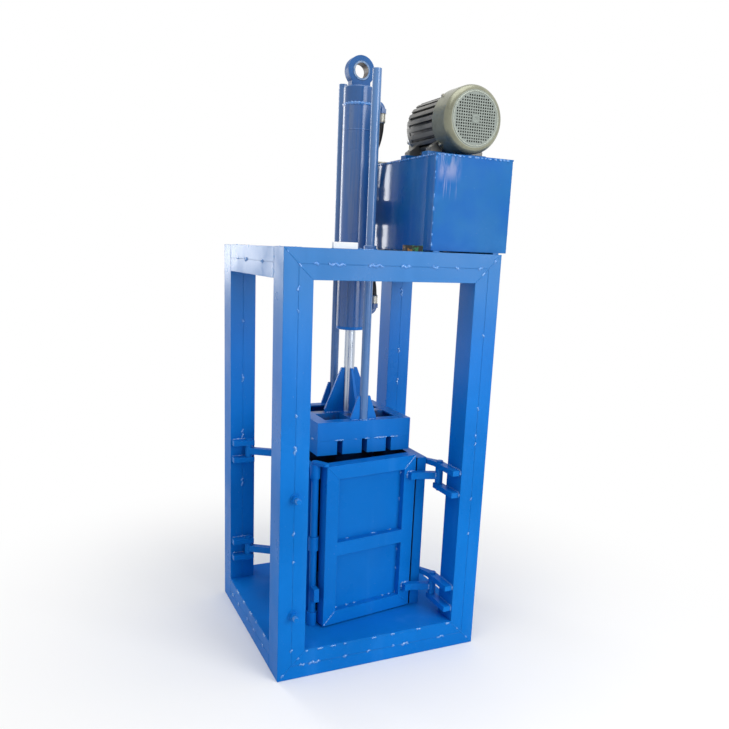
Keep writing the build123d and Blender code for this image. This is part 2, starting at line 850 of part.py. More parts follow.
# Door skin behind the frame, and the two panels set back in its panes
with BuildPart() as door_skin:
    with BuildSketch(door_plane(door_middle, door_face + door_thickness, door_middle_z, door_outward)):
        Rectangle(door_width, door_height)
    extrude(amount=door_skin_thickness)
    panel_back = door_face + door_panel_inset + door_panel_thickness
    with BuildSketch(door_plane(door_middle, panel_back, door_middle_z, door_outward)):
        for pane_y, pane in pane_places:
            with Locations((0, pane_y)):
                Rectangle(door_width - 2 * door_member, pane)
    extrude(amount=door_panel_thickness)
save(door_skin, "door_skin")

# Door arms: bent square bars from the hinge stile to the knuckles
knuckle_length = lug_space - 2 * knuckle_gap
arm_y = door_face - arm_side / 2
arm_start = door_right - arm_edge_inset - arm_lap
with BuildPart() as door_arms:
    for hinge_z in (upper_hinge_z, lower_hinge_z):
        level = door_plane(0, 0, hinge_z, (0, 0, 1))
        with BuildLine(level) as arm_path:
            FilletPolyline(
                (arm_start, arm_y), (door_right - arm_edge_inset, arm_y), (0, 0), radius=arm_bend
            )
        with BuildSketch(Plane(origin=arm_path.line @ 0, x_dir=(0, 0, 1), z_dir=arm_path.line % 0)):
            Rectangle(arm_side, arm_side)
        sweep(path=arm_path.line)
        with BuildSketch(level.offset(-knuckle_length / 2)):
            Circle(knuckle_diameter / 2)
        extrude(amount=knuckle_length)
        with BuildSketch(level.offset(-knuckle_length / 2)):
            Circle(pin_diameter / 2 + pin_gap)
        extrude(amount=knuckle_length, mode=Mode.SUBTRACT)
save(door_arms, "door_arms")


def lug_profile(x, y, z, width, length, pin_place):
    """Outline of a flat lug at height z, bored for its hinge pin."""
    with BuildSketch(Plane.XY.offset(z)) as profile:
        with Locations((x, y)):
            Rectangle(width, length)
        with Locations(pin_place):
            Circle(pin_diameter / 2 + fit_gap, mode=Mode.SUBTRACT)
    return profile.sketch


hinges = [
    (hinge_x, hinge_y, upper_hinge_z, lug_space),
    (hinge_x, hinge_y, lower_hinge_z, lug_space),
    (wall_pin_x, wall_pin_y, upper_clamp_z, wall_lug_space),
    (wall_pin_x, wall_pin_y, lower_clamp_z, wall_lug_space),
]

# Hinge lugs on the front right post, and on the front face of the rear left post;
# the upper lug of each door hinge is stayed to the right wall
door_lug = (
    right_x - post_face - lug_reach / 2, (lug_front + lug_rear) / 2, lug_reach, lug_rear - lug_front,
)
wall_lug = (
    left_x + wall_lug_inset + wall_lug_length / 2, rear_post_front - wall_lug_reach / 2,
    wall_lug_length, wall_lug_reach,
)
lug_sizes = (door_lug, door_lug, wall_lug, wall_lug)
with BuildPart() as hinge_lugs:
    for (pin_x, pin_y, pin_z, space), (x, y, width, length) in zip(hinges, lug_sizes):
        for level in (pin_z - space / 2 - lug_thickness, pin_z + space / 2):
            extrude(lug_profile(x, y, level, width, length, (pin_x, pin_y)), amount=lug_thickness)
    for hinge_z in (upper_hinge_z, lower_hinge_z):
        with BuildSketch(Plane.XY.offset(hinge_z + lug_space / 2)):
            with BuildLine():
                Polyline(
                    (right_x - post_face - lug_reach, lug_rear), (right_x - post_face, lug_rear),
                    (right_wall_outer, wall_front + stay_setback + stay_width),
                    (right_wall_outer, wall_front + stay_setback), close=True,
                )
            make_face()
        extrude(amount=lug_thickness)
save(hinge_lugs, "hinge_lugs")

# Hinge pins with round heads
with BuildPart() as hinge_pins:
    for pin_x, pin_y, pin_z, space in hinges:
        lug_top = pin_z + space / 2 + lug_thickness
        pin_length = space + 2 * lug_thickness + pin_tail
        with BuildSketch(Plane.XY.offset(lug_top - pin_length)):
            with Locations((pin_x, pin_y)):
                Circle(pin_diameter / 2)
        extrude(amount=pin_length)
        with BuildSketch(Plane.XY.offset(lug_top)):
            with Locations((pin_x, pin_y)):
                Circle(pin_head_diameter / 2)
        extrude(amount=pin_head_height)
save(hinge_pins, "hinge_pins")

# Arms of the left wall: at the rear to the pins, at the front to feet behind the post
arm_landing_y = chamber_rear - wall_arm_landing
arm_heading = atan2(arm_landing_y - wall_pin_y, left_wall_outer - wall_pin_x)
arm_half = wall_arm_side / 2
wall_knuckle = wall_lug_space - 2 * knuckle_gap
foot_face = front_post_rear + bracket_thickness
bar_landing_y = wall_front + bracket_landing
bar_heading = atan2(bar_landing_y - foot_face, left_wall_outer - bolt_x)
bar_half = bracket_bar / 2
with BuildPart() as wall_arms:
    for clamp_z in (upper_clamp_z, lower_clamp_z):
        with BuildSketch(Plane.XY.offset(clamp_z - arm_half)):
            with BuildLine():
                Polyline(
                    (wall_pin_x - arm_half * sin(arm_heading), wall_pin_y + arm_half * cos(arm_heading)),
                    (wall_pin_x + arm_half * sin(arm_heading), wall_pin_y - arm_half * cos(arm_heading)),
                    (left_wall_outer, arm_landing_y - arm_half / cos(arm_heading)),
                    (left_wall_outer, arm_landing_y + arm_half / cos(arm_heading)), close=True,
                )
            make_face()
        extrude(amount=wall_arm_side)
        with BuildSketch(Plane.XY.offset(clamp_z - wall_knuckle / 2)):
            with Locations((wall_pin_x, wall_pin_y)):
                Circle(knuckle_diameter / 2)
        extrude(amount=wall_knuckle)
        with BuildSketch(Plane.XY.offset(clamp_z - wall_knuckle / 2)):
            with Locations((wall_pin_x, wall_pin_y)):
                Circle(pin_diameter / 2 + pin_gap)
        extrude(amount=wall_knuckle, mode=Mode.SUBTRACT)
        with BuildSketch(Plane.XY.offset(clamp_z - bar_half)):
            with BuildLine():
                Polyline(
                    (bolt_x + bar_half + bolt_head_flats - bar_half / sin(bar_heading), foot_face),
                    (bolt_x + bar_half + bolt_head_flats + bar_half / sin(bar_heading), foot_face),
                    (left_wall_outer, bar_landing_y - bar_half / cos(bar_heading)),
                    (left_wall_outer, bar_landing_y + bar_half / cos(bar_heading)), close=True,
                )
            make_face()
        extrude(amount=bracket_bar)
        foot_right = bolt_x + bar_half + bolt_head_flats + bar_half / sin(bar_heading)
        foot_left = bolt_x - bracket_width / 2
        with BuildSketch(Plane(origin=(0, foot_face, clamp_z), x_dir=(1, 0, 0), z_dir=(0, -1, 0))):
            with Locations(((foot_left + foot_right) / 2, 0)):
                Rectangle(foot_right - foot_left, bracket_height)
            with Locations((bolt_x, 0)):
                Circle(bolt_diameter / 2 + bolt_clearance, mode=Mode.SUBTRACT)
        extrude(amount=bracket_thickness)
save(wall_arms, "wall_arms")

# Clamp bolts through the front left post
bolt_end = front_y - washer_thickness - bolt_nut_height - bolt_tail
with BuildPart() as clamp_bolts:
    for clamp_z in (upper_clamp_z, lower_clamp_z):
        bolt_plane = Plane(origin=(bolt_x, foot_face, clamp_z), x_dir=(1, 0, 0), z_dir=(0, -1, 0))
        with BuildSketch(bolt_plane):
            Circle(bolt_diameter / 2)
        extrude(amount=foot_face - bolt_end)
        with BuildSketch(bolt_plane):
            RegularPolygon(bolt_head_flats / 2, 6, major_radius=False)
        extrude(amount=-bolt_head_height)
    chamfer(
        clamp_bolts.faces().filter_by(Axis.Y).sort_by(Axis.Y)[:2].edges(), length=bolt_diameter / 12
    )
save(clamp_bolts, "clamp_bolts")

# Nuts and washers on the clamp bolts
with BuildPart() as clamp_nuts:
    for clamp_z in (upper_clamp_z, lower_clamp_z):
        nut_plane = Plane(origin=(bolt_x, front_y, clamp_z), x_dir=(1, 0, 0), z_dir=(0, -1, 0))
        with BuildSketch(nut_plane):
            Circle(washer_diameter / 2)
            Circle(bolt_diameter / 2 + fit_gap, mode=Mode.SUBTRACT)
        extrude(amount=washer_thickness)
        with BuildSketch(nut_plane.offset(washer_thickness)):
            RegularPolygon(bolt_head_flats / 2, 6, major_radius=False)
            Circle(bolt_diameter / 2 + fit_gap, mode=Mode.SUBTRACT)
        extrude(amount=bolt_nut_height)
save(clamp_nuts, "clamp_nuts")

# Sleeves of the lock bar, each on a saddle against the left wall's front edge
sleeve_lifts = (0, lock_middle_lift, lock_height - lock_sleeve_length)
with BuildPart() as lock_sleeves:
    for sleeve_lift in sleeve_lifts:
        with BuildSketch(Plane.XY.offset(base_top + sleeve_lift)):
            with Locations((lock_x, lock_y)):
                Circle(lock_sleeve_diameter / 2)
            with Locations((lock_x, (lock_y + wall_front) / 2)):
                Rectangle(lock_saddle, wall_front - lock_y)
            with Locations((lock_x, lock_y)):
                Circle(lock_diameter / 2 + lock_gap, mode=Mode.SUBTRACT)
        extrude(amount=lock_sleeve_length)
save(lock_sleeves, "lock_sleeves")

# Lock bar, with the lug that turns in front of the closed door and the hook over its top edge
with BuildPart() as lock_bar:
    with BuildSketch(Plane.XY.offset(base_top + lock_gap)):
        with Locations((lock_x, lock_y)):
            Circle(lock_diameter / 2)
    extrude(amount=lock_height)
    with BuildSketch(Plane.XY.offset(base_top + lock_lug_lift)):
        with Locations((lock_x, lock_y - lock_lug_reach / 2)):
            Rectangle(lock_lug_width, lock_lug_reach)
    extrude(amount=lock_lug_height)
    fillet(
        lock_bar.edges().filter_by(Axis.X).group_by(Axis.Y)[0], radius=lock_lug_width / 4
    )
    with BuildSketch(Plane.XY.offset(lock_hook_z)):
        with Locations(Location((lock_x, lock_y, 0), (0, 0, lock_hook_turn))):
            with Locations((lock_hook_reach / 2, 0)):
                SlotCenterToCenter(lock_hook_reach, lock_hook_width)
    extrude(amount=lock_hook_thickness)
save(lock_bar, "lock_bar")

# Oil tank: folded box, open under its lid
with BuildPart() as oil_tank:
    with BuildSketch(Plane.XY.offset(tank_bottom)):
        with Locations((tank_middle, tank_front + tank_length / 2)):
            RectangleRounded(tank_width, tank_length, tank_corner)
    extrude(amount=tank_height)
    with BuildSketch(Plane.XY.offset(tank_bottom + tank_sheet)):
        with Locations((tank_middle, tank_front + tank_length / 2)):
            Rectangle(tank_width - 2 * tank_sheet, tank_length - 2 * tank_sheet)
    extrude(amount=tank_height, mode=Mode.SUBTRACT)
save(oil_tank, "oil_tank")

# Runners under the tank, along the frame's right edge and by the cylinder
runner_places = [tank_left + runner_inset + runner_width / 2, right_x - runner_width / 2]
with BuildPart() as tank_runners:
    with BuildSketch(Plane.XY.offset(frame_height)):
        with Locations(*[(place, tank_front + tank_length / 2) for place in runner_places]):
            Rectangle(runner_width, tank_length)
    extrude(amount=runner_height)
save(tank_runners, "tank_runners")

# Tank lid, pierced for the suction pipe and the breather
suction_y = (pump_front + pump_rear) / 2
breather_x = tank_right - breather_inset
breather_y = tank_rear - breather_inset
with BuildPart() as tank_lid:
    with BuildSketch(Plane.XY.offset(lid_top - lid_thickness)):
        with Locations((tank_middle, tank_front + tank_length / 2)):
            Rectangle(tank_width + 2 * lid_lap, tank_length + 2 * lid_lap)
        with Locations((motor_x, suction_y)):
            Circle(suction_diameter / 2 + fit_gap, mode=Mode.SUBTRACT)
        with Locations((breather_x, breather_y)):
            Circle(breather_neck / 4, mode=Mode.SUBTRACT)
    extrude(amount=lid_thickness)
save(tank_lid, "tank_lid")

# Breather cap with a ribbed grip
with BuildPart() as breather_cap:
    with BuildSketch(Plane.XY.offset(lid_top)):
        with Locations((breather_x, breather_y)):
            Circle(breather_neck / 2)
    extrude(amount=breather_neck_height)
    with BuildSketch(Plane.XY.offset(lid_top + breather_neck_height)):
        with Locations((breather_x, breather_y)):
            Circle(breather_cap_diameter / 2)
            with PolarLocations(breather_cap_diameter / 2, breather_ribs):
                Circle(breather_rib_depth, mode=Mode.SUBTRACT)
    extrude(amount=breather_cap_height)
save(breather_cap, "breather_cap")


def motor_plane(y):
    """Plane across the motor axis that looks along +Y."""
    return Plane(origin=(motor_x, y, motor_z), x_dir=(-1, 0, 0), z_dir=(0, 1, 0))


# Motor rails across the tank lid, under the front and the rear feet
foot_fronts = (cover_rear + foot_inset, motor_rear - foot_inset - foot_length)
with BuildPart() as motor_rails:
    with BuildSketch(Plane.XY.offset(lid_top)):
        with Locations(*[(motor_x, start + foot_length / 2) for start in foot_fronts]):
            Rectangle(motor_rail_length, motor_rail_width)
    extrude(amount=motor_rail_height)
save(motor_rails, "motor_rails")

# Motor housing: finned shell round the stator, with feet and a pad for the terminal box
pad_reach = motor_diameter / 2 + box_pad_rise
with BuildPart() as motor_housing:
    with BuildSketch(motor_plane(cover_rear)):
        Circle(motor_diameter / 2)
        with PolarLocations(motor_diameter / 2, fin_count):
            Rectangle(2 * fin_depth, fin_gap, mode=Mode.SUBTRACT)
    extrude(amount=motor_length)
    for start in foot_fronts:
        with BuildSketch(motor_plane(start)):
            for side in (-1, 1):
                with Locations((side * foot_spread, foot_thickness / 2 - shaft_height)):
                    Rectangle(foot_width, foot_thickness)
                with BuildLine():
                    Polyline(
                        (side * (foot_spread + foot_width / 2), foot_thickness - shaft_height),
                        (side * (foot_spread - foot_width / 2), foot_thickness - shaft_height),
                        (side * (foot_spread - foot_width), -motor_diameter / 4),
                        (side * (foot_spread - foot_width + foot_web), -motor_diameter / 4),
                        close=True,
                    )
                make_face()
        extrude(amount=foot_length)
    with BuildSketch(motor_plane(cover_rear + (motor_length - box_pad_width) / 2)):
        with Locations((-pad_reach / 2, 0)):
            Rectangle(pad_reach, box_pad_height)
    extrude(amount=box_pad_width)
    with BuildSketch(motor_plane(cover_rear)):
        Circle(motor_bore / 2)
    extrude(amount=motor_length, mode=Mode.SUBTRACT)
save(motor_housing, "motor_housing")

# End shields with their bearing bores; the front one carries the fan cover on bosses
boss_reach = cover_diameter / 2 - cover_sheet - fit_gap
with BuildPart() as motor_end_shields:
    for face_y, direction in ((cover_rear, -1), (motor_rear, 1)):
        shield = motor_plane(face_y)
        with BuildSketch(shield):
            Circle(shield_diameter / 2)
            if direction < 0:
                with PolarLocations(boss_reach / 2, boss_count, start_angle=45):
                    Rectangle(boss_reach, boss_width)
                Circle(boss_reach, mode=Mode.INTERSECT)
        extrude(amount=direction * shield_thickness)
        with BuildSketch(shield):
            Circle(motor_bore / 2 - fit_gap)
        extrude(amount=-direction * shield_spigot)
        with BuildSketch(shield.offset(-direction * shield_spigot)):
            Circle(shaft_diameter / 2 + bearing_gap)
        extrude(amount=direction * (shield_spigot + shield_thickness), mode=Mode.SUBTRACT)
save(motor_end_shields, "motor_end_shields")

# Fan cover: spun cup with a shoulder and a square-holed grille round a plain hub
grille_steps = int(grille_radius / grille_pitch)
grille_line = [step * grille_pitch for step in range(-grille_steps, grille_steps + 1)]
grille_places = [
    (x, z) for x in grille_line for z in grille_line if grille_hub < hypot(x, z) <= grille_radius
]
with BuildPart() as motor_fan_cover:
    with BuildSketch(motor_plane(cover_front)):
        Circle(cover_diameter / 2)
    extrude(amount=cover_length)
    fillet(motor_fan_cover.faces().sort_by(Axis.Y)[0].edges(), radius=cover_shoulder)
    offset(amount=-cover_sheet, openings=motor_fan_cover.faces().sort_by(Axis.Y)[-1])
    with BuildSketch(motor_plane(cover_front)):
        with Locations(*grille_places):
            Rectangle(grille_hole, grille_hole)
    extrude(amount=cover_sheet, mode=Mode.SUBTRACT)
save(motor_fan_cover, "motor_fan_cover")

# Rotor and shaft, from the fan to the pump
shaft_front = cover_front + cover_sheet + fan_inset
shaft_rear = pump_front + pump_socket
rotor_front = cover_rear + (motor_length - rotor_length) / 2
with BuildPart() as motor_rotor:
    with BuildSketch(motor_plane(shaft_front)):
        Circle(shaft_diameter / 2)
    extrude(amount=shaft_rear - fit_gap - shaft_front)
    with BuildSketch(motor_plane(rotor_front)):
        Circle(motor_bore / 2 - rotor_gap)
    extrude(amount=rotor_length)
save(motor_rotor, "motor_rotor")

# Fan behind the grille
with BuildPart() as motor_fan:
    with BuildSketch(motor_plane(shaft_front)):
        Circle(fan_hub / 2)
        with PolarLocations(fan_diameter / 4, fan_blades):
            Rectangle(fan_diameter / 2, fan_blade)
    extrude(amount=fan_width)
    with BuildSketch(motor_plane(shaft_front + fan_width)):
        Circle(fan_diameter / 2)
    extrude(amount=-fan_disc)
    with BuildSketch(motor_plane(shaft_front)):
        Circle(shaft_diameter / 2 + fit_gap / 2)
    extrude(amount=fan_width, mode=Mode.SUBTRACT)
save(motor_fan, "motor_fan")

# Terminal box on the far side of the motor, with a lid
box_plane = Plane(
    origin=(motor_x + pad_reach, cover_rear + motor_length / 2, motor_z),
    x_dir=(0, 1, 0), z_dir=(1, 0, 0),
)
with BuildPart() as motor_terminal_box:
    with BuildSketch(box_plane):
        RectangleRounded(
            terminal_box_length - terminal_lid, terminal_box_height - terminal_lid, terminal_box_corner
        )
    extrude(amount=terminal_box_reach - terminal_lid)
    with BuildSketch(box_plane.offset(terminal_box_reach - terminal_lid)):
        RectangleRounded(terminal_box_length, terminal_box_height, terminal_box_corner)
    extrude(amount=terminal_lid)
save(motor_terminal_box, "motor_terminal_box")

# Gear pump behind a lantern on the drive end
with BuildPart() as gear_pump:
    with BuildSketch(motor_plane(lantern_front)):
        Circle(lantern_diameter / 2)
    extrude(amount=lantern_length)
    with BuildSketch(motor_plane(pump_front)):
        RectangleRounded(pump_width, pump_height, pump_corner)
    extrude(amount=pump_length)
    with BuildSketch(motor_plane(lantern_front)):
        Circle(lantern_bore / 2)
    extrude(amount=lantern_length, mode=Mode.SUBTRACT)
    with BuildSketch(motor_plane(pump_front)):
        Circle(shaft_diameter / 2 + bearing_gap)
    extrude(amount=pump_socket, mode=Mode.SUBTRACT)
save(gear_pump, "gear_pump")

# Pump pipes: suction straight down into the tank, pressure back and down to the valve
pipe_level = lid_top + pipe_clear + pipe_diameter / 2
pipe_y = valve_middle + valve_port_spread
with BuildPart() as pump_pipes:
    with BuildSketch(Plane.XY.offset(tank_bottom + 2 * tank_sheet)):
        with Locations((motor_x, suction_y)):
            Circle(suction_diameter / 2)
    extrude(amount=motor_z - pump_height / 2 - tank_bottom - 2 * tank_sheet)
    with BuildLine() as pressure_path:
        FilletPolyline(
            (motor_x, pump_rear, motor_z),
            (motor_x, pump_rear + pipe_run_back, motor_z),
            (motor_x, pump_rear + pipe_run_back, pipe_level),
            (motor_x, pipe_y, pipe_level),
            (valve_x, pipe_y, pipe_level),
            (valve_x, pipe_y, valve_top),
            radius=pipe_bend,
        )
    with BuildSketch(Plane(origin=pressure_path.line @ 0, z_dir=pressure_path.line % 0)):
        Circle(pipe_diameter / 2)
    sweep(path=pressure_path.line)
save(pump_pipes, "pump_pipes")

# Hand valve on the tank's left wall, with hose nipples and the clevis of its lever
clevis_y = valve_rear + clevis_reach - lever_eye / 2
clevis_place = (valve_x, clevis_y, valve_z)
nipple_y = valve_middle - valve_port_spread
with BuildPart() as control_valve:
    with BuildSketch(Plane.XY.offset(valve_bottom)):
        with Locations((valve_x, valve_middle)):
            RectangleRounded(valve_width, valve_length, valve_corner)
    extrude(amount=valve_height)
    with BuildSketch(Plane.XY.offset(valve_bottom - nipple_length)):
        with Locations((valve_x, nipple_y)):
            Circle(nipple_diameter / 2)
    extrude(amount=valve_height + 2 * nipple_length)
    for side in (-1, 1):
        cheek_x = valve_x + side * (lever_thickness / 2 + lever_gap + clevis_thickness / 2)
        with BuildSketch(Plane.YZ.offset(cheek_x)):
            with Locations((valve_rear + clevis_reach / 2 - lever_eye / 4, valve_z)):
                Rectangle(clevis_reach - lever_eye / 2, clevis_height)
            with Locations((clevis_y, valve_z)):
                Circle(clevis_height / 2)
        extrude(amount=clevis_thickness / 2, both=True)
    with BuildSketch(Plane.YZ.offset(valve_x)):
        with Locations((clevis_y, valve_z)):
            Circle(lever_pin / 2)
    extrude(amount=lever_thickness / 2 + lever_gap + clevis_thickness, both=True)
save(control_valve, "control_valve")

# Valve lever: flat eye, round bar and ball knob
lean = radians(lever_lean)
lever_axis = Plane(origin=clevis_place, x_dir=(1, 0, 0), z_dir=(0, sin(lean), cos(lean)))
with BuildPart() as valve_lever:
    with BuildSketch(Plane.YZ.offset(valve_x)):
        with Locations((clevis_y, valve_z)):
            Circle(lever_eye / 2)
    extrude(amount=lever_thickness / 2, both=True)
    with BuildSketch(lever_axis):
        Circle(lever_diameter / 2)
    extrude(amount=lever_length)
    with Locations(lever_axis.offset(lever_length)):
        Sphere(lever_knob / 2)
    with BuildSketch(Plane.YZ.offset(valve_x)):
        with Locations((clevis_y, valve_z)):
            Circle(lever_pin / 2 + lever_gap)
    extrude(amount=lever_diameter, both=True, mode=Mode.SUBTRACT)
save(valve_lever, "valve_lever")

# Terminal strip on the front top beam, beside the tank
strip_middle_x = tank_left - strip_gap - strip_length / 2
strip_middle_y = front_y + strip_setback
strip_way = strip_length / strip_ways - strip_wall
with BuildPart() as terminal_strip:
    with BuildSketch(Plane.XY.offset(frame_height)):
        with Locations((strip_middle_x, strip_middle_y)):
            Rectangle(strip_length, strip_width)
    extrude(amount=strip_height)
    with BuildSketch(Plane.XY.offset(frame_height + strip_height - strip_way_depth)):
        with Locations((strip_middle_x, strip_middle_y)):
            with GridLocations(strip_length / strip_ways, strip_width, strip_ways, 1):
                Rectangle(strip_way, strip_width - 2 * strip_wall)
    extrude(amount=strip_way_depth, mode=Mode.SUBTRACT)
save(terminal_strip, "terminal_strip")
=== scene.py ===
"""Looks of the small vertical recycling baler: paint, weld beads, hoses and small fittings."""
import json
import math
import random

import bmesh
import bpy
from mathutils import Matrix, Vector


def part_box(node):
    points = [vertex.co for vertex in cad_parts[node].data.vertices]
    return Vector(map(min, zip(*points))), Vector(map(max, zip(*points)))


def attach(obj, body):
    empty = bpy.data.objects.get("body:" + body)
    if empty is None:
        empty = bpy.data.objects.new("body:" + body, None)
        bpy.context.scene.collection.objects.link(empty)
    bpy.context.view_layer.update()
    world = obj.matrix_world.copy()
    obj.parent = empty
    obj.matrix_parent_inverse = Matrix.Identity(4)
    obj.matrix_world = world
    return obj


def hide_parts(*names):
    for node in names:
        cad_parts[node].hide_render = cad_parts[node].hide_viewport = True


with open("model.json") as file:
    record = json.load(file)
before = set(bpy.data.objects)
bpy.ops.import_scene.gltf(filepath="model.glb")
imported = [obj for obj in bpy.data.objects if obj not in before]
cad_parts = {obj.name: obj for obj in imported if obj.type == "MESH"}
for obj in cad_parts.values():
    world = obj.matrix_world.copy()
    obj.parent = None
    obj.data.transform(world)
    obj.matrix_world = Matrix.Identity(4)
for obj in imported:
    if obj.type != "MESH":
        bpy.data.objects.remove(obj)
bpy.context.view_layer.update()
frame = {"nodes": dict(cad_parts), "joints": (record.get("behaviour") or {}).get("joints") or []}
nodes = frame["nodes"]
scene = bpy.context.scene
scene.view_settings.view_transform = "Standard"

# Camera, at the photograph's place
PHOTO_SIZE = 729.0
SENSOR = 36.0
FOCAL_PIXELS = 731.82
PRINCIPAL = (355.52, 415.21)
CAMERA_PLACE = Vector((-1.1293, -2.5645, 1.4911))
CAMERA_RIGHT = Vector((0.9140, -0.4039, 0.0378))
CAMERA_DOWN = Vector((-0.0556, -0.2164, -0.9747))
CAMERA_AHEAD = Vector((0.4021, 0.8888, -0.2205))

camera_data = bpy.data.cameras.new("photo_camera")
camera_data.sensor_width = SENSOR
camera_data.lens = SENSOR * FOCAL_PIXELS / PHOTO_SIZE
camera_data.shift_x = 0.5 - PRINCIPAL[0] / PHOTO_SIZE
camera_data.shift_y = PRINCIPAL[1] / PHOTO_SIZE - 0.5
camera = bpy.data.objects.new("photo_camera", camera_data)
scene.collection.objects.link(camera)
axes = Matrix((CAMERA_RIGHT, -CAMERA_DOWN, -CAMERA_AHEAD)).transposed()
camera.matrix_world = Matrix.Translation(CAMERA_PLACE) @ axes.to_4x4()
scene.camera = camera

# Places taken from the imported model
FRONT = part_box("front_left_post")[0].y
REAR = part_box("rear_left_post")[1].y
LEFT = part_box("front_left_post")[0].x
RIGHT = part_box("front_right_post")[1].x
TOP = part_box("front_top_beam")[1].z
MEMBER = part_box("front_bottom_beam")[1].z
SEAM = MEMBER / 2
FLOOR_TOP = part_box("base_plate")[1].z
BAY_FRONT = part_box("left_top_beam")[0].y
BAY_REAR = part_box("left_top_beam")[1].y
barrel_low, barrel_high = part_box("cylinder_barrel")
PRESS = (barrel_low + barrel_high) / 2
BARREL_RADIUS = (barrel_high.x - barrel_low.x) / 2
PLATEN_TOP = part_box("platen_ring")[1].z
tank_low, tank_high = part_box("oil_tank")
cover_low, cover_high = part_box("motor_fan_cover")
motor_axis = (cover_low + cover_high) / 2
COVER_RADIUS = (cover_high.x - cover_low.x) / 2
housing_low, housing_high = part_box("motor_housing")
strip_low, strip_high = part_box("terminal_strip")
strip_middle = (strip_low + strip_high) / 2
bush_low, bush_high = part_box("eye_bush")
eye_axis = (bush_low + bush_high) / 2
joint_places = {j["name"]: Vector(j.get("pos_m") or (0, 0, 0)) for j in frame["joints"]}

# The door's own axes, at the angle it stands ajar
DOOR_AJAR = math.radians(8)
HINGE = joint_places["door_hinge"]
ALONG_DOOR = Vector((math.cos(DOOR_AJAR), math.sin(DOOR_AJAR), 0))
THROUGH_DOOR = Vector((-math.sin(DOOR_AJAR), math.cos(DOOR_AJAR), 0))
UP = Vector((0, 0, 1))


def door_point(x, y, z):
    """A place in the door's own axes, which start at the hinge."""
    return Vector((HINGE.x, HINGE.y, z)) + ALONG_DOOR * x + THROUGH_DOOR * y


def opaque(colour):
    """Three numbers as a colour without transparency; a socket stays as it is."""
    return colour if isinstance(colour, bpy.types.NodeSocket) else (*colour, 1.0)


def shaded(colour, share):
    """A colour made darker by a share of its light."""
    return tuple(part * (1 - share) for part in colour)


class Graph:
    """A material's node tree, with short calls for the nodes used here."""

    def __init__(self, name):
        self.material = bpy.data.materials.new(name)
        self.material.use_nodes = True
        self.tree = self.material.node_tree
        self.shader = self.tree.nodes["Principled BSDF"]

    def node(self, kind, **settings):
        made = self.tree.nodes.new("ShaderNode" + kind)
        for key, value in settings.items():
            setattr(made, key, value)
        return made

    def feed(self, socket, value):
        if isinstance(value, bpy.types.NodeSocket):
            self.tree.links.new(value, socket)
        else:
            socket.default_value = value

    def put(self, name, value):
        self.feed(self.shader.inputs[name], value)

    def coords(self):
        return self.node("TexCoord").outputs["Object"]

    def noise(self, scale, detail=4.0, rough=0.55, stretch=None):
        vector = self.coords()
        if stretch:
            mapping = self.node("Mapping")
            mapping.inputs["Scale"].default_value = stretch
            self.feed(mapping.inputs["Vector"], vector)
            vector = mapping.outputs["Vector"]
        made = self.node("TexNoise")
        self.feed(made.inputs["Vector"], vector)
        for key, number in (("Scale", scale), ("Detail", detail), ("Roughness", rough)):
            made.inputs[key].default_value = number
        return made.outputs["Fac"]

    def ramp(self, value, low, high, start=0.0, end=1.0):
        made = self.node("MapRange")
        made.interpolation_type = "SMOOTHSTEP"
        self.feed(made.inputs["Value"], value)
        for key, number in (("From Min", low), ("From Max", high), ("To Min", start), ("To Max", end)):
            made.inputs[key].default_value = number
        return made.outputs["Result"]

    def math(self, operation, one, two=0.0):
        made = self.node("Math", operation=operation)
        self.feed(made.inputs[0], one)
        self.feed(made.inputs[1], two)
        return made.outputs["Value"]

    def times(self, one, two):
        return self.math("MULTIPLY", one, two)

    def mix(self, share, one, two):
        made = self.node("Mix", data_type="RGBA")
        self.feed(made.inputs["Factor"], share)
        self.feed(made.inputs["A"], opaque(one))
        self.feed(made.inputs["B"], opaque(two))
        return made.outputs["Result"]

    def axis(self, name, vector=None):
        made = self.node("SeparateXYZ")
        self.feed(made.inputs["Vector"], vector or self.coords())
        return made.outputs[name]

    def away(self, place):
        """Distance from the line along Y through a place."""
        across = self.math("SUBTRACT", self.axis("X"), place.x)
        rise = self.math("SUBTRACT", self.axis("Z"), place.z)
        squares = self.math("ADD", self.times(across, across), self.times(rise, rise))
        return self.math("SQRT", squares)

    def relief(self, height, distance, strength, radius):
        """Bumps on the shader's surface, with the edges rounded by a radius."""
        made = self.node("Bump")
        made.inputs["Strength"].default_value = strength
        made.inputs["Distance"].default_value = distance
        self.feed(made.inputs["Height"], height)
        self.feed(made.inputs["Normal"], self.rounded(radius))
        self.put("Normal", made.outputs["Normal"])

    def rounded(self, radius):
        made = self.node("Bevel", samples=4)
        made.inputs["Radius"].default_value = radius
        return made.outputs["Normal"]

    def edge_mask(self, radius):
        """One along the edges, nought on the flats."""
        flat = self.node("NewGeometry").outputs["True Normal"]
        made = self.node("VectorMath", operation="DOT_PRODUCT")
        self.feed(made.inputs[0], self.rounded(radius))
        self.feed(made.inputs[1], flat)
        return self.ramp(made.outputs["Value"], 0.96, 0.80, 0.0, 1.0)

    def colour(self, value):
        self.put("Base Color", opaque(value))


BLUE = (0.0030, 0.168, 0.585)
BLUE_DEEP = (0.0020, 0.140, 0.500)
BLUE_PALE = (0.060, 0.280, 0.720)
# Tone of the painted shade towards the top of the frame
BLUE_HEIGHT_SHADE = (0.014, 0.150, 0.380)
CHALK = (0.45, 0.52, 0.64)
# Heights between which the enamel takes a painted shade, darker and greyer, and between which its shine grows
HEIGHT_SHADE_FROM, HEIGHT_SHADE_TO = 1.10, 1.48
SHINE_FROM, SHINE_TO = 0.60, 1.35
# How far above and below a cap's top its coat fades out
COAT_ABOVE, COAT_BELOW = 0.004, 0.001


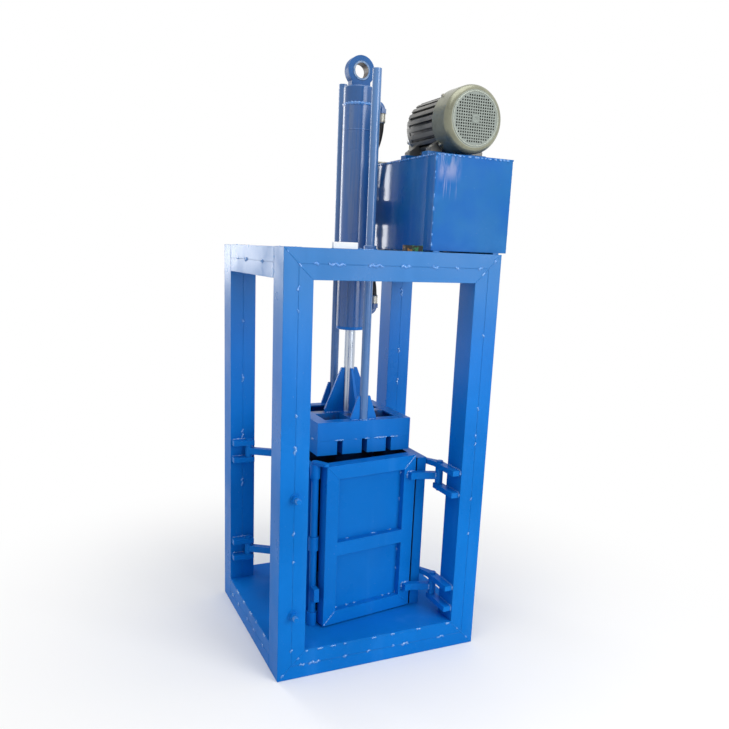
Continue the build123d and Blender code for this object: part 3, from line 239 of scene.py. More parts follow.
def paint(name, worn=0.35, roughness=(0.26, 0.40), shine=(0.05, 0.26), coat=0.0, wear_and_shade=None,
          tones=(BLUE_DEEP, BLUE), coat_left=False, coat_rough=0.10, coat_top=None, height_shade=0.0):
    """Gloss enamel: patchy tone, pale rubbed edges, a faint orange peel, and less shine near the floor.

    With a height shade, the tone turns darker and greyer towards the top of the frame: painted shade by
    height.
    """
    look = Graph(name)
    tone = look.mix(look.ramp(look.noise(2.3, 5.0), 0.30, 0.70), *tones)
    # Painted shade: darker, greyer tone towards the top of the frame
    if height_shade:
        tone = look.mix(look.ramp(look.axis("Z"), HEIGHT_SHADE_FROM, HEIGHT_SHADE_TO, 0.0, height_shade), tone, BLUE_HEIGHT_SHADE)
    streak = look.noise(9.0, 3.0, stretch=(1.0, 1.0, 0.12))
    tone = look.mix(look.ramp(streak, 0.54, 0.80, 0.0, 0.18), tone, BLUE_PALE)
    tone = look.mix(look.ramp(look.noise(160.0, 2.0), 0.72, 0.78, 0.0, 0.16), tone, CHALK)
    rubbed = look.ramp(look.noise(26.0, 4.0), 0.42, 0.62, 0.0, worn)
    tone = look.mix(look.times(look.edge_mask(0.003), rubbed), tone, BLUE_PALE)
    # A function given here adds wear marks to the tone; on the chamber and the platen it also paints shade,
    # on the tank a reflection
    if wear_and_shade:
        tone = wear_and_shade(look, tone)
    look.colour(tone)
    look.put("Roughness", look.ramp(look.noise(5.0, 4.0), 0.30, 0.72, *roughness))
    if isinstance(shine, tuple):
        shine = look.ramp(look.axis("Z"), SHINE_FROM, SHINE_TO, *shine)
    look.put("Specular IOR Level", shine)
    look.put("Coat Weight", coat)
    look.put("Coat Roughness", coat_rough)
    if coat_left:
        facing = look.axis("X", look.node("NewGeometry").outputs["Normal"])
        look.put("Coat Weight", look.ramp(facing, -0.5, -0.9, 0.0, coat))
    if coat_top:
        below = look.ramp(look.axis("Z"), coat_top + COAT_ABOVE, coat_top - COAT_BELOW, 0.0, coat)
        look.put("Coat Weight", below)
    runs = look.times(look.noise(60.0, 3.0, stretch=(1, 1, 0.2)), 1.5)
    peel = look.math("ADD", look.noise(420.0, 2.0), runs)
    look.relief(peel, 0.0004, 0.30, 0.0022)
    return look.material


# The rubbed patch: each pair is where it starts to show and where it shows in full
PATCH_LEFT = (tank_low.x + 0.002, tank_low.x + 0.024)
PATCH_RIGHT = (tank_low.x + 0.106, tank_low.x + 0.070)
PATCH_DEPTH = (tank_low.y + 0.0035, tank_low.y + 0.0005)
PATCH_FOOT = (tank_high.z - 0.093, tank_high.z - 0.046)
SCRATCH_FOOT = (tank_high.z - 0.153, tank_high.z - 0.088)


def tank_scuff(look, tone):
    """Rubbed, greyish patch at the top left of the tank's front, with scratches running down from it."""
    x, y, z = (look.axis(name) for name in "XYZ")
    across = look.times(look.ramp(x, *PATCH_RIGHT), look.ramp(x, *PATCH_LEFT))
    front = look.times(look.ramp(y, *PATCH_DEPTH), across)
    blotches = look.ramp(look.noise(34.0, 4.0, stretch=(1.0, 1.0, 0.3)), 0.36, 0.58)
    body = look.times(look.ramp(z, *PATCH_FOOT), blotches)
    scratches = look.ramp(look.noise(150.0, 2.0, stretch=(1.0, 1.0, 0.05)), 0.55, 0.66)
    lines = look.times(look.ramp(z, *SCRATCH_FOOT), scratches)
    share = look.times(front, look.math("MAXIMUM", body, look.times(lines, 0.7)))
    return look.mix(look.times(share, 0.52), tone, (0.36, 0.38, 0.56))


def tank_mottle(look, tone):
    """Cloudy patches where the tank's coat was laid on unevenly, paler patches that are partly uneven coat
    and partly a painted reflection on the glossy tank, and the rubbed patch over them.
    """
    cloud = look.ramp(look.noise(7.5, 4.0, 0.5), 0.36, 0.66, 0.0, 0.55)
    tone = look.mix(cloud, tone, (0.004, 0.098, 0.420))
    # Paler patches: partly uneven coat, partly painted reflection
    pale_coat_and_sheen = look.ramp(look.noise(5.0, 3.0, 0.5, stretch=(1.0, 1.0, 1.6)), 0.52, 0.74, 0.0, 0.40)
    return tank_scuff(look, look.mix(pale_coat_and_sheen, tone, (0.040, 0.210, 0.560)))


def barrel_grime(look, tone):
    """Thin, uneven coat on the barrel, with grey streaks along it."""
    streak = look.ramp(look.noise(42.0, 4.0, stretch=(1.0, 1.0, 0.05)), 0.44, 0.70, 0.0, 0.50)
    return look.mix(streak, tone, (0.155, 0.200, 0.290))


# How far into the walls the chamber's painted shade fades out
SHADE_NEAR, SHADE_FAR = 0.0006, 0.0022


def chamber_painted_shade(look, tone):
    """Painted shade: a near-black film on the inner faces of the chamber's walls, for the shade inside the
    chamber.
    """
    low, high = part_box("chamber_left_wall")[1].x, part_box("chamber_right_wall")[0].x
    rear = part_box("chamber_rear_wall")[0].y
    left = look.ramp(look.axis("X"), low - SHADE_FAR, low - SHADE_NEAR)
    right = look.ramp(look.axis("X"), high + SHADE_FAR, high + SHADE_NEAR)
    wide = look.times(left, right)
    share = look.times(wide, look.ramp(look.axis("Y"), rear + SHADE_FAR, rear + SHADE_NEAR))
    # Painted shade, near black, over the chamber's inner faces
    shade_film = look.ramp(look.noise(9.0, 5.0), 0.25, 0.60, 0.55, 0.95)
    return look.mix(look.times(share, shade_film), tone, (0.012, 0.010, 0.010))


def platen_rust_and_shade(look, tone):
    """Rust-brown film on the inside of the platen: partly rust, partly painted shade in its hollow inside."""
    shade_film = look.ramp(look.noise(14.0, 5.0), 0.40, 0.62, 0.0, 0.75)
    return look.mix(shade_film, tone, (0.085, 0.066, 0.052))


def metal(name, colour, roughness=0.3, brushed=(1.0, 1.0, 1.0), variation=0.15, metallic=1.0):
    """Machined or cast metal with fine marks."""
    look = Graph(name)
    marks = look.noise(90.0, 4.0, stretch=brushed)
    look.colour(look.mix(look.ramp(marks, 0.35, 0.65), shaded(colour, variation), colour))
    look.put("Roughness", look.ramp(marks, 0.3, 0.7, roughness * 0.75, roughness * 1.3))
    look.put("Metallic", metallic)
    look.relief(marks, 0.0002, 0.25, 0.001)
    return look.material


def plastic(name, colour, roughness=0.5, grain=500.0, patchy=0.25):
    """Moulded plastic or rubber with a fine grain."""
    look = Graph(name)
    look.colour(look.mix(look.ramp(look.noise(18.0), 0.35, 0.65), shaded(colour, patchy), colour))
    look.put("Roughness", look.ramp(look.noise(40.0), 0.3, 0.7, roughness * 0.85, roughness * 1.15))
    look.relief(look.noise(grain, 2.0), 0.0003, 0.3, 0.0008)
    return look.material


def motor_paint(name, colour, metallic=0.5, face=None, slot_shade_radius=0.0):
    """Bare-looking enamel of the motor, grimy in places.

    A face colour makes the grille plainer; a slot radius sets where the fins' roots are painted dark, as
    painted shade in the gaps between the fins.
    """
    look = Graph(name)
    tone = look.mix(look.ramp(look.noise(11.0, 5.0), 0.32, 0.68), shaded(colour, 0.30), colour)
    # Painted shade at the roots of the fins, in the gaps between them
    if slot_shade_radius:
        root = look.ramp(look.away(motor_axis), slot_shade_radius, slot_shade_radius - 0.006)
        along = look.ramp(look.axis("Y"), housing_high.y - 0.001, housing_high.y - 0.004)
        slot_shade = look.times(root, along)
        tone = look.mix(slot_shade, tone, (0.012, 0.012, 0.013))
    grime = look.ramp(look.noise(30.0, 5.0), 0.55, 0.75, 0.0, 0.30)
    tone = look.mix(grime, tone, (0.075, 0.062, 0.048))
    if face:
        flat = look.ramp(look.axis("Y"), cover_low.y + 0.0010, cover_low.y + 0.0001)
        spots = look.ramp(look.noise(60.0, 4.0), 0.40, 0.70, 0.0, 0.35)
        tone = look.mix(flat, tone, look.mix(spots, face, shaded(face, 0.40)))
        look.put("Metallic", look.ramp(flat, 0.0, 1.0, metallic, 0.0))
        look.put("Roughness", look.ramp(flat, 0.0, 1.0, 0.27, 0.58))
    else:
        look.put("Metallic", metallic)
        look.put("Roughness", look.ramp(look.noise(16.0), 0.3, 0.7, 0.30, 0.46))
    look.colour(tone)
    look.relief(look.noise(240.0, 3.0), 0.0004, 0.30, 0.0015)
    return look.material


def eye_tone_and_shade(name, radius):
    """Bronze in the bore of the eye, darkened further as painted shade in the bore, and painted over on the
    bush's faces.
    """
    look = Graph(name)
    share = look.ramp(look.away(eye_axis), radius + 0.0004, radius + 0.0012)
    worn = look.ramp(look.noise(60.0, 4.0), 0.4, 0.6, 0.0, 0.35)
    painted = look.mix(worn, (0.060, 0.125, 0.24), (0.26, 0.30, 0.34))
    # The bore's dark brown is bronze, darkened further as painted shade in the bore
    look.colour(look.mix(share, (0.052, 0.033, 0.022), painted))
    look.put("Metallic", look.ramp(share, 0.0, 1.0, 0.0, 0.45))
    look.put("Roughness", 0.42)
    look.relief(look.noise(90.0, 4.0), 0.0003, 0.3, 0.001)
    return look.material


def strip_tone_and_shade(name):
    """Moulded terminal strip, brown at one end and green at the other, darkened and with black patches:
    partly its black body, partly painted shade.
    """
    look = Graph(name)
    change = look.ramp(look.axis("X"), strip_middle.x - 0.010, strip_middle.x - 0.006)
    tone = look.mix(change, (0.210, 0.092, 0.020), (0.008, 0.120, 0.040))
    # Black patches over about half the strip: partly the black moulding, partly painted shade
    tone = look.mix(look.ramp(look.noise(70.0, 3.0), 0.46, 0.53), tone, (0.005, 0.006, 0.005))
    look.colour(tone)
    look.put("Roughness", 0.42)
    look.put("Specular IOR Level", 0.15)
    look.relief(look.noise(500.0, 2.0), 0.0003, 0.3, 0.0008)
    return look.material


# The frame's enamel, with painted shade towards its top
blue = paint("blue_enamel", height_shade=0.65)
blue_rods = paint("blue_enamel_rods", worn=0.5, roughness=(0.20, 0.32), shine=0.30, coat=0.7,
                  tones=((0.050, 0.150, 0.360), (0.080, 0.200, 0.440)))
blue_barrel = paint("blue_enamel_barrel", worn=0.5, roughness=(0.22, 0.36), shine=0.25, coat=0.8,
                    wear_and_shade=barrel_grime, tones=((0.016, 0.095, 0.300), (0.034, 0.135, 0.385)), coat_rough=0.20)
CAP_HEIGHT = 0.061
blue_cap = paint("blue_enamel_cap", worn=0.6, roughness=(0.28, 0.42), shine=0.12, coat=0.8,
                 coat_rough=0.20, coat_top=barrel_high.z + CAP_HEIGHT,
                 tones=((0.013, 0.080, 0.250), (0.028, 0.120, 0.340)))
blue_chamber = paint("blue_enamel_chamber", wear_and_shade=chamber_painted_shade)
blue_floor = paint("blue_enamel_floor", roughness=(0.50, 0.62), shine=0.04)
blue_tank = paint("blue_enamel_tank", wear_and_shade=tank_mottle, roughness=(0.26, 0.38), shine=0.06, coat=1.0,
                  tones=((0.010, 0.122, 0.360), (0.018, 0.148, 0.415)), coat_left=True)
blue_platen = paint("blue_enamel_platen", worn=0.6, wear_and_shade=platen_rust_and_shade)
# The weld's tones run paler than the frame's: partly a painted highlight on the beads
blue_weld = paint("blue_enamel_weld", worn=0.5, roughness=(0.12, 0.26), shine=0.85, coat=0.8,
                  tones=((0.006, 0.170, 0.560), (0.050, 0.250, 0.640)))
chrome = metal("hard_chrome", (0.56, 0.61, 0.67), 0.34, (1.0, 1.0, 0.15), 0.12)
steel = metal("machined_steel", (0.40, 0.41, 0.43), 0.36)
zinc = metal("zinc_plated_steel", (0.50, 0.49, 0.43), 0.34)
brass = metal("brass", (0.52, 0.38, 0.15), 0.36)
aluminium = metal("die_cast_aluminium", (0.50, 0.51, 0.52), 0.46)
rubber = plastic("black_rubber", (0.016, 0.016, 0.017), 0.42, 900.0)
black_plastic = plastic("black_plastic", (0.022, 0.022, 0.023), 0.48)
MOTOR_GREY = (0.165, 0.160, 0.142)
FIN_ROOT = 0.0965
motor_grey = motor_paint("motor_grey", MOTOR_GREY, 0.20)
motor_fins = motor_paint("motor_fin_grey", MOTOR_GREY, 0.20, slot_shade_radius=FIN_ROOT)
cover_grey = motor_paint("motor_cover_grey", (0.285, 0.292, 0.212), 0.50, (0.235, 0.270, 0.245))
# The rim is paler than the cover: a painted highlight along the rolled rim
rim_highlight_metal = metal("cover_rim_highlight", (0.34, 0.37, 0.32), 0.40, metallic=0.5)
BUSH_WALL = 0.007
eye_bronze_and_shade = eye_tone_and_shade("eye_bush_finish", (bush_high.x - bush_low.x) / 2 - BUSH_WALL)
white_board = plastic("white_board", (0.93, 0.92, 0.89), 0.6, patchy=0.04)
strip_moulded = strip_tone_and_shade("strip_moulding")

finish = {
    "piston_rod": chrome, "piston": steel, "motor_rotor": steel, "eye_bush": eye_bronze_and_shade,
    "guide_rods": blue_rods, "guide_bushes": blue_rods,
    "cylinder_barrel": blue_barrel, "cylinder_cap": blue_cap,
    "oil_tank": blue_tank, "tank_lid": blue_tank, "platen_cross": blue_platen,
    "chamber_left_wall": blue_chamber, "chamber_right_wall": blue_chamber, "chamber_rear_wall": blue_chamber,
    "base_plate": blue_floor,
    "motor_housing": motor_fins, "motor_end_shields": motor_grey, "motor_terminal_box": motor_grey,
    "motor_fan_cover": cover_grey, "motor_fan": black_plastic, "breather_cap": black_plastic,
    "gear_pump": aluminium, "pump_pipes": zinc, "port_elbows": blue_barrel, "control_valve": steel,
    "valve_lever": steel, "terminal_strip": strip_moulded,
}
for name, piece in nodes.items():
    piece.data.materials.clear()
    piece.data.materials.append(finish.get(name, blue))


def mesh_piece(name, mesh, material, body, smooth=True):
    """Turns a bmesh into a piece that rides on a body."""
    bmesh.ops.recalc_face_normals(mesh, faces=mesh.faces)
    data = bpy.data.meshes.new(name)
    mesh.to_mesh(data)
    mesh.free()
    if smooth:
        for polygon in data.polygons:
            polygon.use_smooth = True
    data.materials.append(material)
    piece = bpy.data.objects.new(name, data)
    scene.collection.objects.link(piece)
    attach(piece, body)
    return piece


# Hoses, on the routes of the part's source
HOSE_DIAMETER = 0.020
UPPER_ROUTE = [
    (0.106, 0.034, 1.983), (0.106, 0.034, 1.939), (0.104, 0.045, 1.893), (0.099, 0.068, 1.853),
    (0.092, 0.101, 1.822), (0.087, 0.125, 1.784), (0.084, 0.1385, 1.741), (0.084, 0.1385, 1.699),
]
LOWER_ROUTE = [
    (0.106, 0.034, 1.290), (0.106, 0.034, 1.335), (0.1035, 0.046, 1.380), (0.0985, 0.069, 1.419),
    (0.092, 0.101, 1.450), (0.087, 0.125, 1.490), (0.084, 0.1385, 1.534), (0.084, 0.1385, 1.577),
]
FERRULE = [
    (0.0100, 0.000), (0.0130, 0.000), (0.0136, 0.002), (0.0126, 0.004), (0.0136, 0.007), (0.0124, 0.011),
    (0.0136, 0.015), (0.0124, 0.019), (0.0136, 0.023), (0.0134, 0.030), (0.0118, 0.033), (0.0104, 0.034),
]


def spokes(axis, steps):
    """Directions square to an axis, all round it."""
    side = axis.orthogonal().normalized()
    across = axis.cross(side)
    turns = [2 * math.pi * step / steps for step in range(steps)]
    return [side * math.cos(turn) + across * math.sin(turn) for turn in turns]


def join(mesh, low, high):
    """Faces between two rings that have as many points."""
    for index in range(len(low)):
        after = (index + 1) % len(low)
        mesh.faces.new((low[index], low[after], high[after], high[index]))


def lathe(mesh, profile, place, axis, steps=32):
    """Turns a profile of (radius, height) about an axis through a place."""
    axis = Vector(axis).normalized()
    around = spokes(axis, steps)
    rings = []
    for radius, height in profile:
        middle = Vector(place) + axis * height
        rings.append([mesh.verts.new(middle + out * radius) for out in around])
    for low, high in zip(rings, rings[1:]):
        join(mesh, low, high)
    mesh.faces.new(rings[0])
    mesh.faces.new(rings[-1])


def lathe_ring(mesh, profile, place, axis, steps=64):
    """Turns a profile about an axis into a closed ring, with no faces across it."""
    axis = Vector(axis).normalized()
    rings = []
    for out in spokes(axis, steps):
        places = [Vector(place) + axis * height + out * radius for radius, height in profile]
        rings.append([mesh.verts.new(each) for each in places])
    for low, high in zip(rings, rings[1:] + rings[:1]):
        join(mesh, low, high)


def hose(name, node, route):
    """A hose on one smooth spline, with a crimped ferrule at each end."""
    data = bpy.data.curves.new(name, "CURVE")
    data.dimensions = "3D"
    data.bevel_depth = HOSE_DIAMETER / 2
    data.bevel_resolution = 6
    data.resolution_u = 16
    data.use_fill_caps = True
    spline = data.splines.new("NURBS")
    spline.points.add(len(route) - 1)
    for point, place in zip(spline.points, route):
        point.co = (*place, 1.0)
    spline.order_u = 3
    spline.use_endpoint_u = True
    data.materials.append(rubber)
    piece = bpy.data.objects.new(name, data)
    scene.collection.objects.link(piece)
    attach(piece, "frame")
    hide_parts(node)
    ends = bmesh.new()
    for place, after in ((route[0], route[1]), (route[-1], route[-2])):
        lathe(ends, FERRULE, place, Vector(after) - Vector(place))
    crimps = mesh_piece(name + "_ferrules", ends, zinc, "frame")


hose("upper_hose_line", "upper_hose", UPPER_ROUTE)
hose("lower_hose_line", "lower_hose", LOWER_ROUTE)

# Weld beads; the size of each is a width and a height
BEAD_STEP = 0.0016
RIPPLE = 0.0042
LUMP = 0.014
LUMP_DEPTH = 0.30
STITCH_SWAY = 0.24
ROOT_DEPTH = 0.0008
SECTION = (-1.0, -0.72, -0.38, 0.0, 0.38, 0.72, 1.0)
ROOT_SECTION = (0.8, -0.8)
# Long waves in a bead's width: rate along it, depth, and how far the bead's own drift shifts them
WAVES = ((190, 0.07, 1), (71, 0.09, 2))
SWAY_RATE, SWAY_SHIFT = 0.6, 3
# Ends narrow over a share of the width and stay a little blunt; ripples curl back at a bead's sides
TAPER, BLUNT, CURL = 0.7, 0.12, 0.30
TROUGH, CREST, CREST_POWER = 0.62, 0.38, 0.7
chance = random.Random(7)


def bead(mesh, path, normal, size, closed=False, sway=0.0):
    """A rippled, lumpy bead along a path, on the surface with the given normal or a normal per point."""
    width, height = size
    lengths = [0.0]
    for one, two in zip(path, path[1:]):
        lengths.append(lengths[-1] + (two - one).length)
    total = lengths[-1]
    count = max(5, int(total / BEAD_STEP))
    drift = chance.uniform(0, 10)
    lumps = 2 * math.pi * max(1, round(total / LUMP)) / total
    taper = TAPER * width
    rings = []
    for index in range(count + 1):
        reach = total * index / count
        leg = max(number for number in range(len(lengths) - 1) if lengths[number] <= reach + 1e-12)
        share = (reach - lengths[leg]) / max(lengths[leg + 1] - lengths[leg], 1e-9)
        place = path[leg].lerp(path[leg + 1], min(share, 1.0))
        ahead = (path[leg + 1] - path[leg]).normalized()
        up = normal
        if isinstance(normal, list):
            up = normal[leg].lerp(normal[leg + 1], min(share, 1.0)).normalized()
        side = ahead.cross(up).normalized()
        end = 1.0
        if not closed:
            end = min(1.0, reach / taper + BLUNT, (total - reach) / taper + BLUNT) ** 0.5
        wander = sum(math.sin(reach * rate + shift * drift) * depth for rate, depth, shift in WAVES)
        wander += math.sin(reach * lumps + drift) * LUMP_DEPTH
        place = place + side * (width * sway * math.sin(reach * lumps * SWAY_RATE + SWAY_SHIFT * drift))
        half = 0.5 * width * (1 + wander) * end
        ring = []
        for across in SECTION:
            phase = ((reach + CURL * width * across * across + drift) / RIPPLE) % 1.0
            crest = TROUGH + CREST * math.sin(math.pi * phase) ** CREST_POWER
            lift = height * (1 - across * across) * crest * end * (1 + wander)
            ring.append(mesh.verts.new(place + side * (half * across) + up * lift))
        for across in ROOT_SECTION:
            ring.append(mesh.verts.new(place + side * (half * across) - up * ROOT_DEPTH))
        rings.append(ring)
    if closed:
        rings = rings[:-1]
    for low, high in zip(rings, rings[1:]):
        join(mesh, low, high)
    if closed:
        join(mesh, rings[-1], rings[0])
    else:
        mesh.faces.new(rings[0])
        mesh.faces.new(rings[-1])


def line(mesh, start, end, normal, size, sway=0.0):
    """A straight bead."""
    bead(mesh, [Vector(start), Vector(end)], Vector(normal).normalized(), size, sway=sway)


def ring_bead(mesh, centre, radius, axis, lean, size, steps=48):
    """A closed bead round a circle; lean says how far it faces outward rather than along the axis."""
    around = spokes(axis, steps)
    around.append(around[0])
    path = [Vector(centre) + out * radius for out in around]
    normal = [(out * lean + axis * (1 - lean)).normalized() for out in around]
    bead(mesh, path, normal, size, closed=True)


# Stitches on the front seams, where the photograph shows them
FACE = (0, -1, 0)
STITCH = (0.0100, 0.0032)
TOP_STITCHES = ((-0.303, -0.282), (-0.252, -0.192), (-0.112, -0.056), (0.006, 0.046), (0.124, 0.152),
                (0.215, 0.232), (0.308, 0.326))
BOTTOM_STITCHES = ((-0.320, -0.297), (-0.284, -0.238), (-0.152, -0.134), (-0.056, -0.040), (0.048, 0.060),
                   (0.086, 0.120), (0.240, 0.272))
LEFT_STITCHES = ((1.358, 1.376), (1.290, 1.302), (0.950, 0.963), (0.824, 0.856), (0.540, 0.556),
                 (0.439, 0.451), (0.104, 0.117))
RIGHT_STITCHES = ((1.204, 1.216), (0.936, 0.950), (0.836, 0.848), (0.804, 0.816), (0.593, 0.604),
                  (0.454, 0.466))
frame_welds = bmesh.new()
for z, spans in ((TOP - SEAM, TOP_STITCHES), (SEAM, BOTTOM_STITCHES)):
    for low, high in spans:
        line(frame_welds, (low, FRONT, z), (high, FRONT, z), FACE, STITCH, STITCH_SWAY)
for x, spans in ((LEFT + SEAM, LEFT_STITCHES), (RIGHT - SEAM, RIGHT_STITCHES)):
    for low, high in spans:
        line(frame_welds, (x, FRONT, low), (x, FRONT, high), FACE, STITCH, STITCH_SWAY)


def run_of_beads(mesh, start, end, normal, size, run, sway=0.0):
    """Short beads along a seam; run holds the first place, the margin at the end, lengths and gaps."""
    place, margin, lengths, gaps = run
    start, end = Vector(start), Vector(end)
    total = (end - start).length
    while place < total - margin:
        length = chance.uniform(*lengths)
        one, two = (start.lerp(end, min(1, reach / total)) for reach in (place, place + length))
        line(mesh, one, two, normal, size, sway)
        place += length + chance.uniform(*gaps)


TACK_INSET, TACK_MARGIN = 0.02, 0.03
TACK_LENGTHS = (0.012, 0.042)
TACK_GAP_SHARES = (0.5, 1.4)


def tacks(mesh, start, end, normal, spacing, sway=0.0):
    """Short tacks at loose intervals along a seam."""
    first = chance.uniform(TACK_INSET, spacing)
    gaps = [share * spacing for share in TACK_GAP_SHARES]
    run_of_beads(mesh, start, end, normal, STITCH, (first, TACK_MARGIN, TACK_LENGTHS, gaps), sway)


# The seams of the other faces
POST_SPACING, BAY_SPACING, BEAM_SPACING = 0.20, 0.22, 0.12
BAY_FOOT, POST_HEAD = MEMBER + 0.02, TOP - MEMBER
for x in (LEFT + SEAM, RIGHT - SEAM):
    tacks(frame_welds, (x, REAR, MEMBER), (x, REAR, POST_HEAD), (0, 1, 0), POST_SPACING, STITCH_SWAY)
    for y, face in ((BAY_REAR, -1), (BAY_FRONT, 1)):
        tacks(frame_welds, (x, y, BAY_FOOT), (x, y, POST_HEAD), (0, face, 0), BAY_SPACING, STITCH_SWAY)
for z in (SEAM, TOP - SEAM):
    start, end = (LEFT + MEMBER, REAR, z), (RIGHT - MEMBER, REAR, z)
    tacks(frame_welds, start, end, (0, 1, 0), BEAM_SPACING, STITCH_SWAY)
    for x, side in ((LEFT, -1), (RIGHT, 1)):
        start, end = (x, BAY_FRONT, z), (x, BAY_REAR, z)
        tacks(frame_welds, start, end, (side, 0, 0), BEAM_SPACING, STITCH_SWAY)

# Mitres of the portals and the butt joints of the side beams
MITRE = (0.0042, 0.0008)
MITRE_TACK = (0.0085, 0.0024)
# As shares of the seam
MITRE_TACK_STARTS = ((0.04, 0.20), (0.45, 0.80))
MITRE_TACK_LENGTHS = (0.06, 0.13)
EDGE, INNER = 0.004, 0.003
mitre_seams = bmesh.new()


def mitre(start, end, normal):
    """A ground seam from corner to corner, with two tacks left proud on it."""
    start, end = Vector(start), Vector(end)
    line(mitre_seams, start, end, normal, MITRE)
    for low in [chance.uniform(*span) for span in MITRE_TACK_STARTS]:
        high = low + chance.uniform(*MITRE_TACK_LENGTHS)
        line(frame_welds, start.lerp(end, low), start.lerp(end, high), normal, MITRE_TACK)


for y, face in ((FRONT, -1), (REAR, 1)):
    for x, inward in ((LEFT, 1), (RIGHT, -1)):
        for z, rise in ((0, 1), (TOP, -1)):
            corner = Vector((x + inward * EDGE, y, z + rise * EDGE))
            inner = Vector((x + inward * (MEMBER - INNER), y, z + rise * (MEMBER - INNER)))
            mitre(corner, inner, (0, face, 0))
for x, side in ((LEFT, -1), (RIGHT, 1)):
    for y in (BAY_FRONT, BAY_REAR):
        for low in (EDGE, TOP - MEMBER + INNER):
            mitre((x, y, low), (x, y, low + MEMBER - (EDGE + INNER)), (side, 0, 0))
        mitre((x - side * EDGE, y, TOP), (x - side * (MEMBER - EDGE), y, TOP), UP)
mesh_piece("mitre_seams", mitre_seams, blue, "frame")

# Base plate tacks along its front, rear and side edges
BASE_BEAD = (0.008, 0.0018)
BASE_LEAN, BASE_SPACING = 0.6, 0.10
BASE_LEVEL = MEMBER + 0.001
BASE_STITCHES = ((-0.298, -0.286), (-0.252, -0.228), (-0.202, -0.180), (-0.150, -0.138), (-0.038, -0.018),
                 (0.040, 0.058), (0.148, 0.168), (0.276, 0.294))
for low, high in BASE_STITCHES:
    line(frame_welds, (low, FRONT, BASE_LEVEL), (high, FRONT, BASE_LEVEL), (0, -1, BASE_LEAN), BASE_BEAD)
start, end = (LEFT + MEMBER, REAR, MEMBER), (RIGHT - MEMBER, REAR, MEMBER)
tacks(frame_welds, start, end, (0, 1, BASE_LEAN), BASE_SPACING)
for x, side in ((LEFT, -1), (RIGHT, 1)):
    tacks(frame_welds, (x, BAY_FRONT, MEMBER), (x, BAY_REAR, MEMBER), (side, 0, BASE_LEAN), BASE_SPACING)
mesh_piece("frame_welds", frame_welds, blue_weld, "frame")

# Cylinder: the cap's ring weld, a dark ring below it, the head plate's ring and the guides' collars
CAP_BEAD, DARK_RING = (0.010, 0.0022), (0.004, 0.0008)
HEAD_BEAD, COLLAR_BEAD = (0.010, 0.0035), (0.007, 0.0028)
RING_DROP = 0.088
COLLAR_RADIUS = 0.0245
GUIDE_SPREAD = 0.150
BEAD_OUT = 0.002
OUTWARD, DIAGONAL = 1.0, 0.5
cylinder_welds, barrel_ring = bmesh.new(), bmesh.new()
ring_bead(cylinder_welds, (PRESS.x, PRESS.y, barrel_high.z), BARREL_RADIUS, UP, OUTWARD, CAP_BEAD)
ring_bead(barrel_ring, (PRESS.x, PRESS.y, barrel_high.z - RING_DROP), BARREL_RADIUS, UP, OUTWARD, DARK_RING)
mesh_piece("barrel_ring", barrel_ring, blue_barrel, "frame")
ring_bead(cylinder_welds, (PRESS.x, PRESS.y, TOP), BARREL_RADIUS + BEAD_OUT, UP, DIAGONAL, HEAD_BEAD)
for spread in (-GUIDE_SPREAD, GUIDE_SPREAD):
    middle = (PRESS.x, PRESS.y + spread, TOP)
    ring_bead(cylinder_welds, middle, COLLAR_RADIUS, UP, DIAGONAL, COLLAR_BEAD, steps=32)
mesh_piece("cylinder_welds", cylinder_welds, blue_weld, "frame")

# Platen: seam over the shoes, feet of the rods and of the gussets
SHOE_BEAD, ROD_BEAD, GUIDE_BEAD = (0.008, 0.0024), (0.009, 0.0030), (0.008, 0.0030)
GUIDE_GUSSET_BEAD, ROD_GUSSET_BEAD = (0.006, 0.0022), (0.007, 0.0026)
SHOE_STITCHES = ((-0.112, -0.076), (-0.030, -0.022), (0.010, 0.032), (0.050, 0.104), (0.118, 0.152))
RING_REAR_SPACING, RING_SIDE_SPACING = 0.07, 0.08
ROD_RADIUS, GUIDE_RADIUS = 0.020, 0.016
GUIDE_GUSSET_START, GUIDE_GUSSET_HALF, GUIDE_GUSSET_RUN = 0.022, 0.004, 0.028
ROD_GUSSET_START, ROD_GUSSET_HALF, ROD_GUSSET_RUN = 0.028, 0.005, 0.064
platen_welds = bmesh.new()
ring_low, ring_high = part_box("platen_ring")
for low, high in SHOE_STITCHES:
    line(platen_welds, (low, ring_low.y, ring_low.z), (high, ring_low.y, ring_low.z), FACE, SHOE_BEAD)
start, end = (ring_low.x, ring_high.y, ring_low.z), (ring_high.x, ring_high.y, ring_low.z)
tacks(platen_welds, start, end, (0, 1, 0), RING_REAR_SPACING)
for x, side in ((ring_low.x, -1), (ring_high.x, 1)):
    start, end = (x, ring_low.y, ring_low.z), (x, ring_high.y, ring_low.z)
    tacks(platen_welds, start, end, (side, 0, 0), RING_SIDE_SPACING)
ring_bead(platen_welds, (PRESS.x, PRESS.y, PLATEN_TOP), ROD_RADIUS + BEAD_OUT, UP, DIAGONAL, ROD_BEAD)
for spread in (-GUIDE_SPREAD, GUIDE_SPREAD):
    foot = Vector((PRESS.x, PRESS.y + spread, PLATEN_TOP))
    ring_bead(platen_welds, foot, GUIDE_RADIUS + BEAD_OUT, UP, DIAGONAL, GUIDE_BEAD, steps=32)
    for side in (-1, 1):
        for face in (-1, 1):
            start = foot + Vector((side * GUIDE_GUSSET_START, face * GUIDE_GUSSET_HALF, 0))
            end = start + Vector((side * GUIDE_GUSSET_RUN, 0, 0))
            line(platen_welds, start, end, (0, face, 1), GUIDE_GUSSET_BEAD)
for heading in range(4):
    out = Vector((math.cos(heading * math.pi / 2), math.sin(heading * math.pi / 2), 0))
    beside = Vector((-out.y, out.x, 0))
    foot = Vector((PRESS.x, PRESS.y, PLATEN_TOP))
    for face in (-1, 1):
        start = foot + out * ROD_GUSSET_START + beside * (face * ROD_GUSSET_HALF)
        line(platen_welds, start, start + out * ROD_GUSSET_RUN, beside * face + UP, ROD_GUSSET_BEAD)
mesh_piece("platen_welds", platen_welds, blue_weld, "ram")

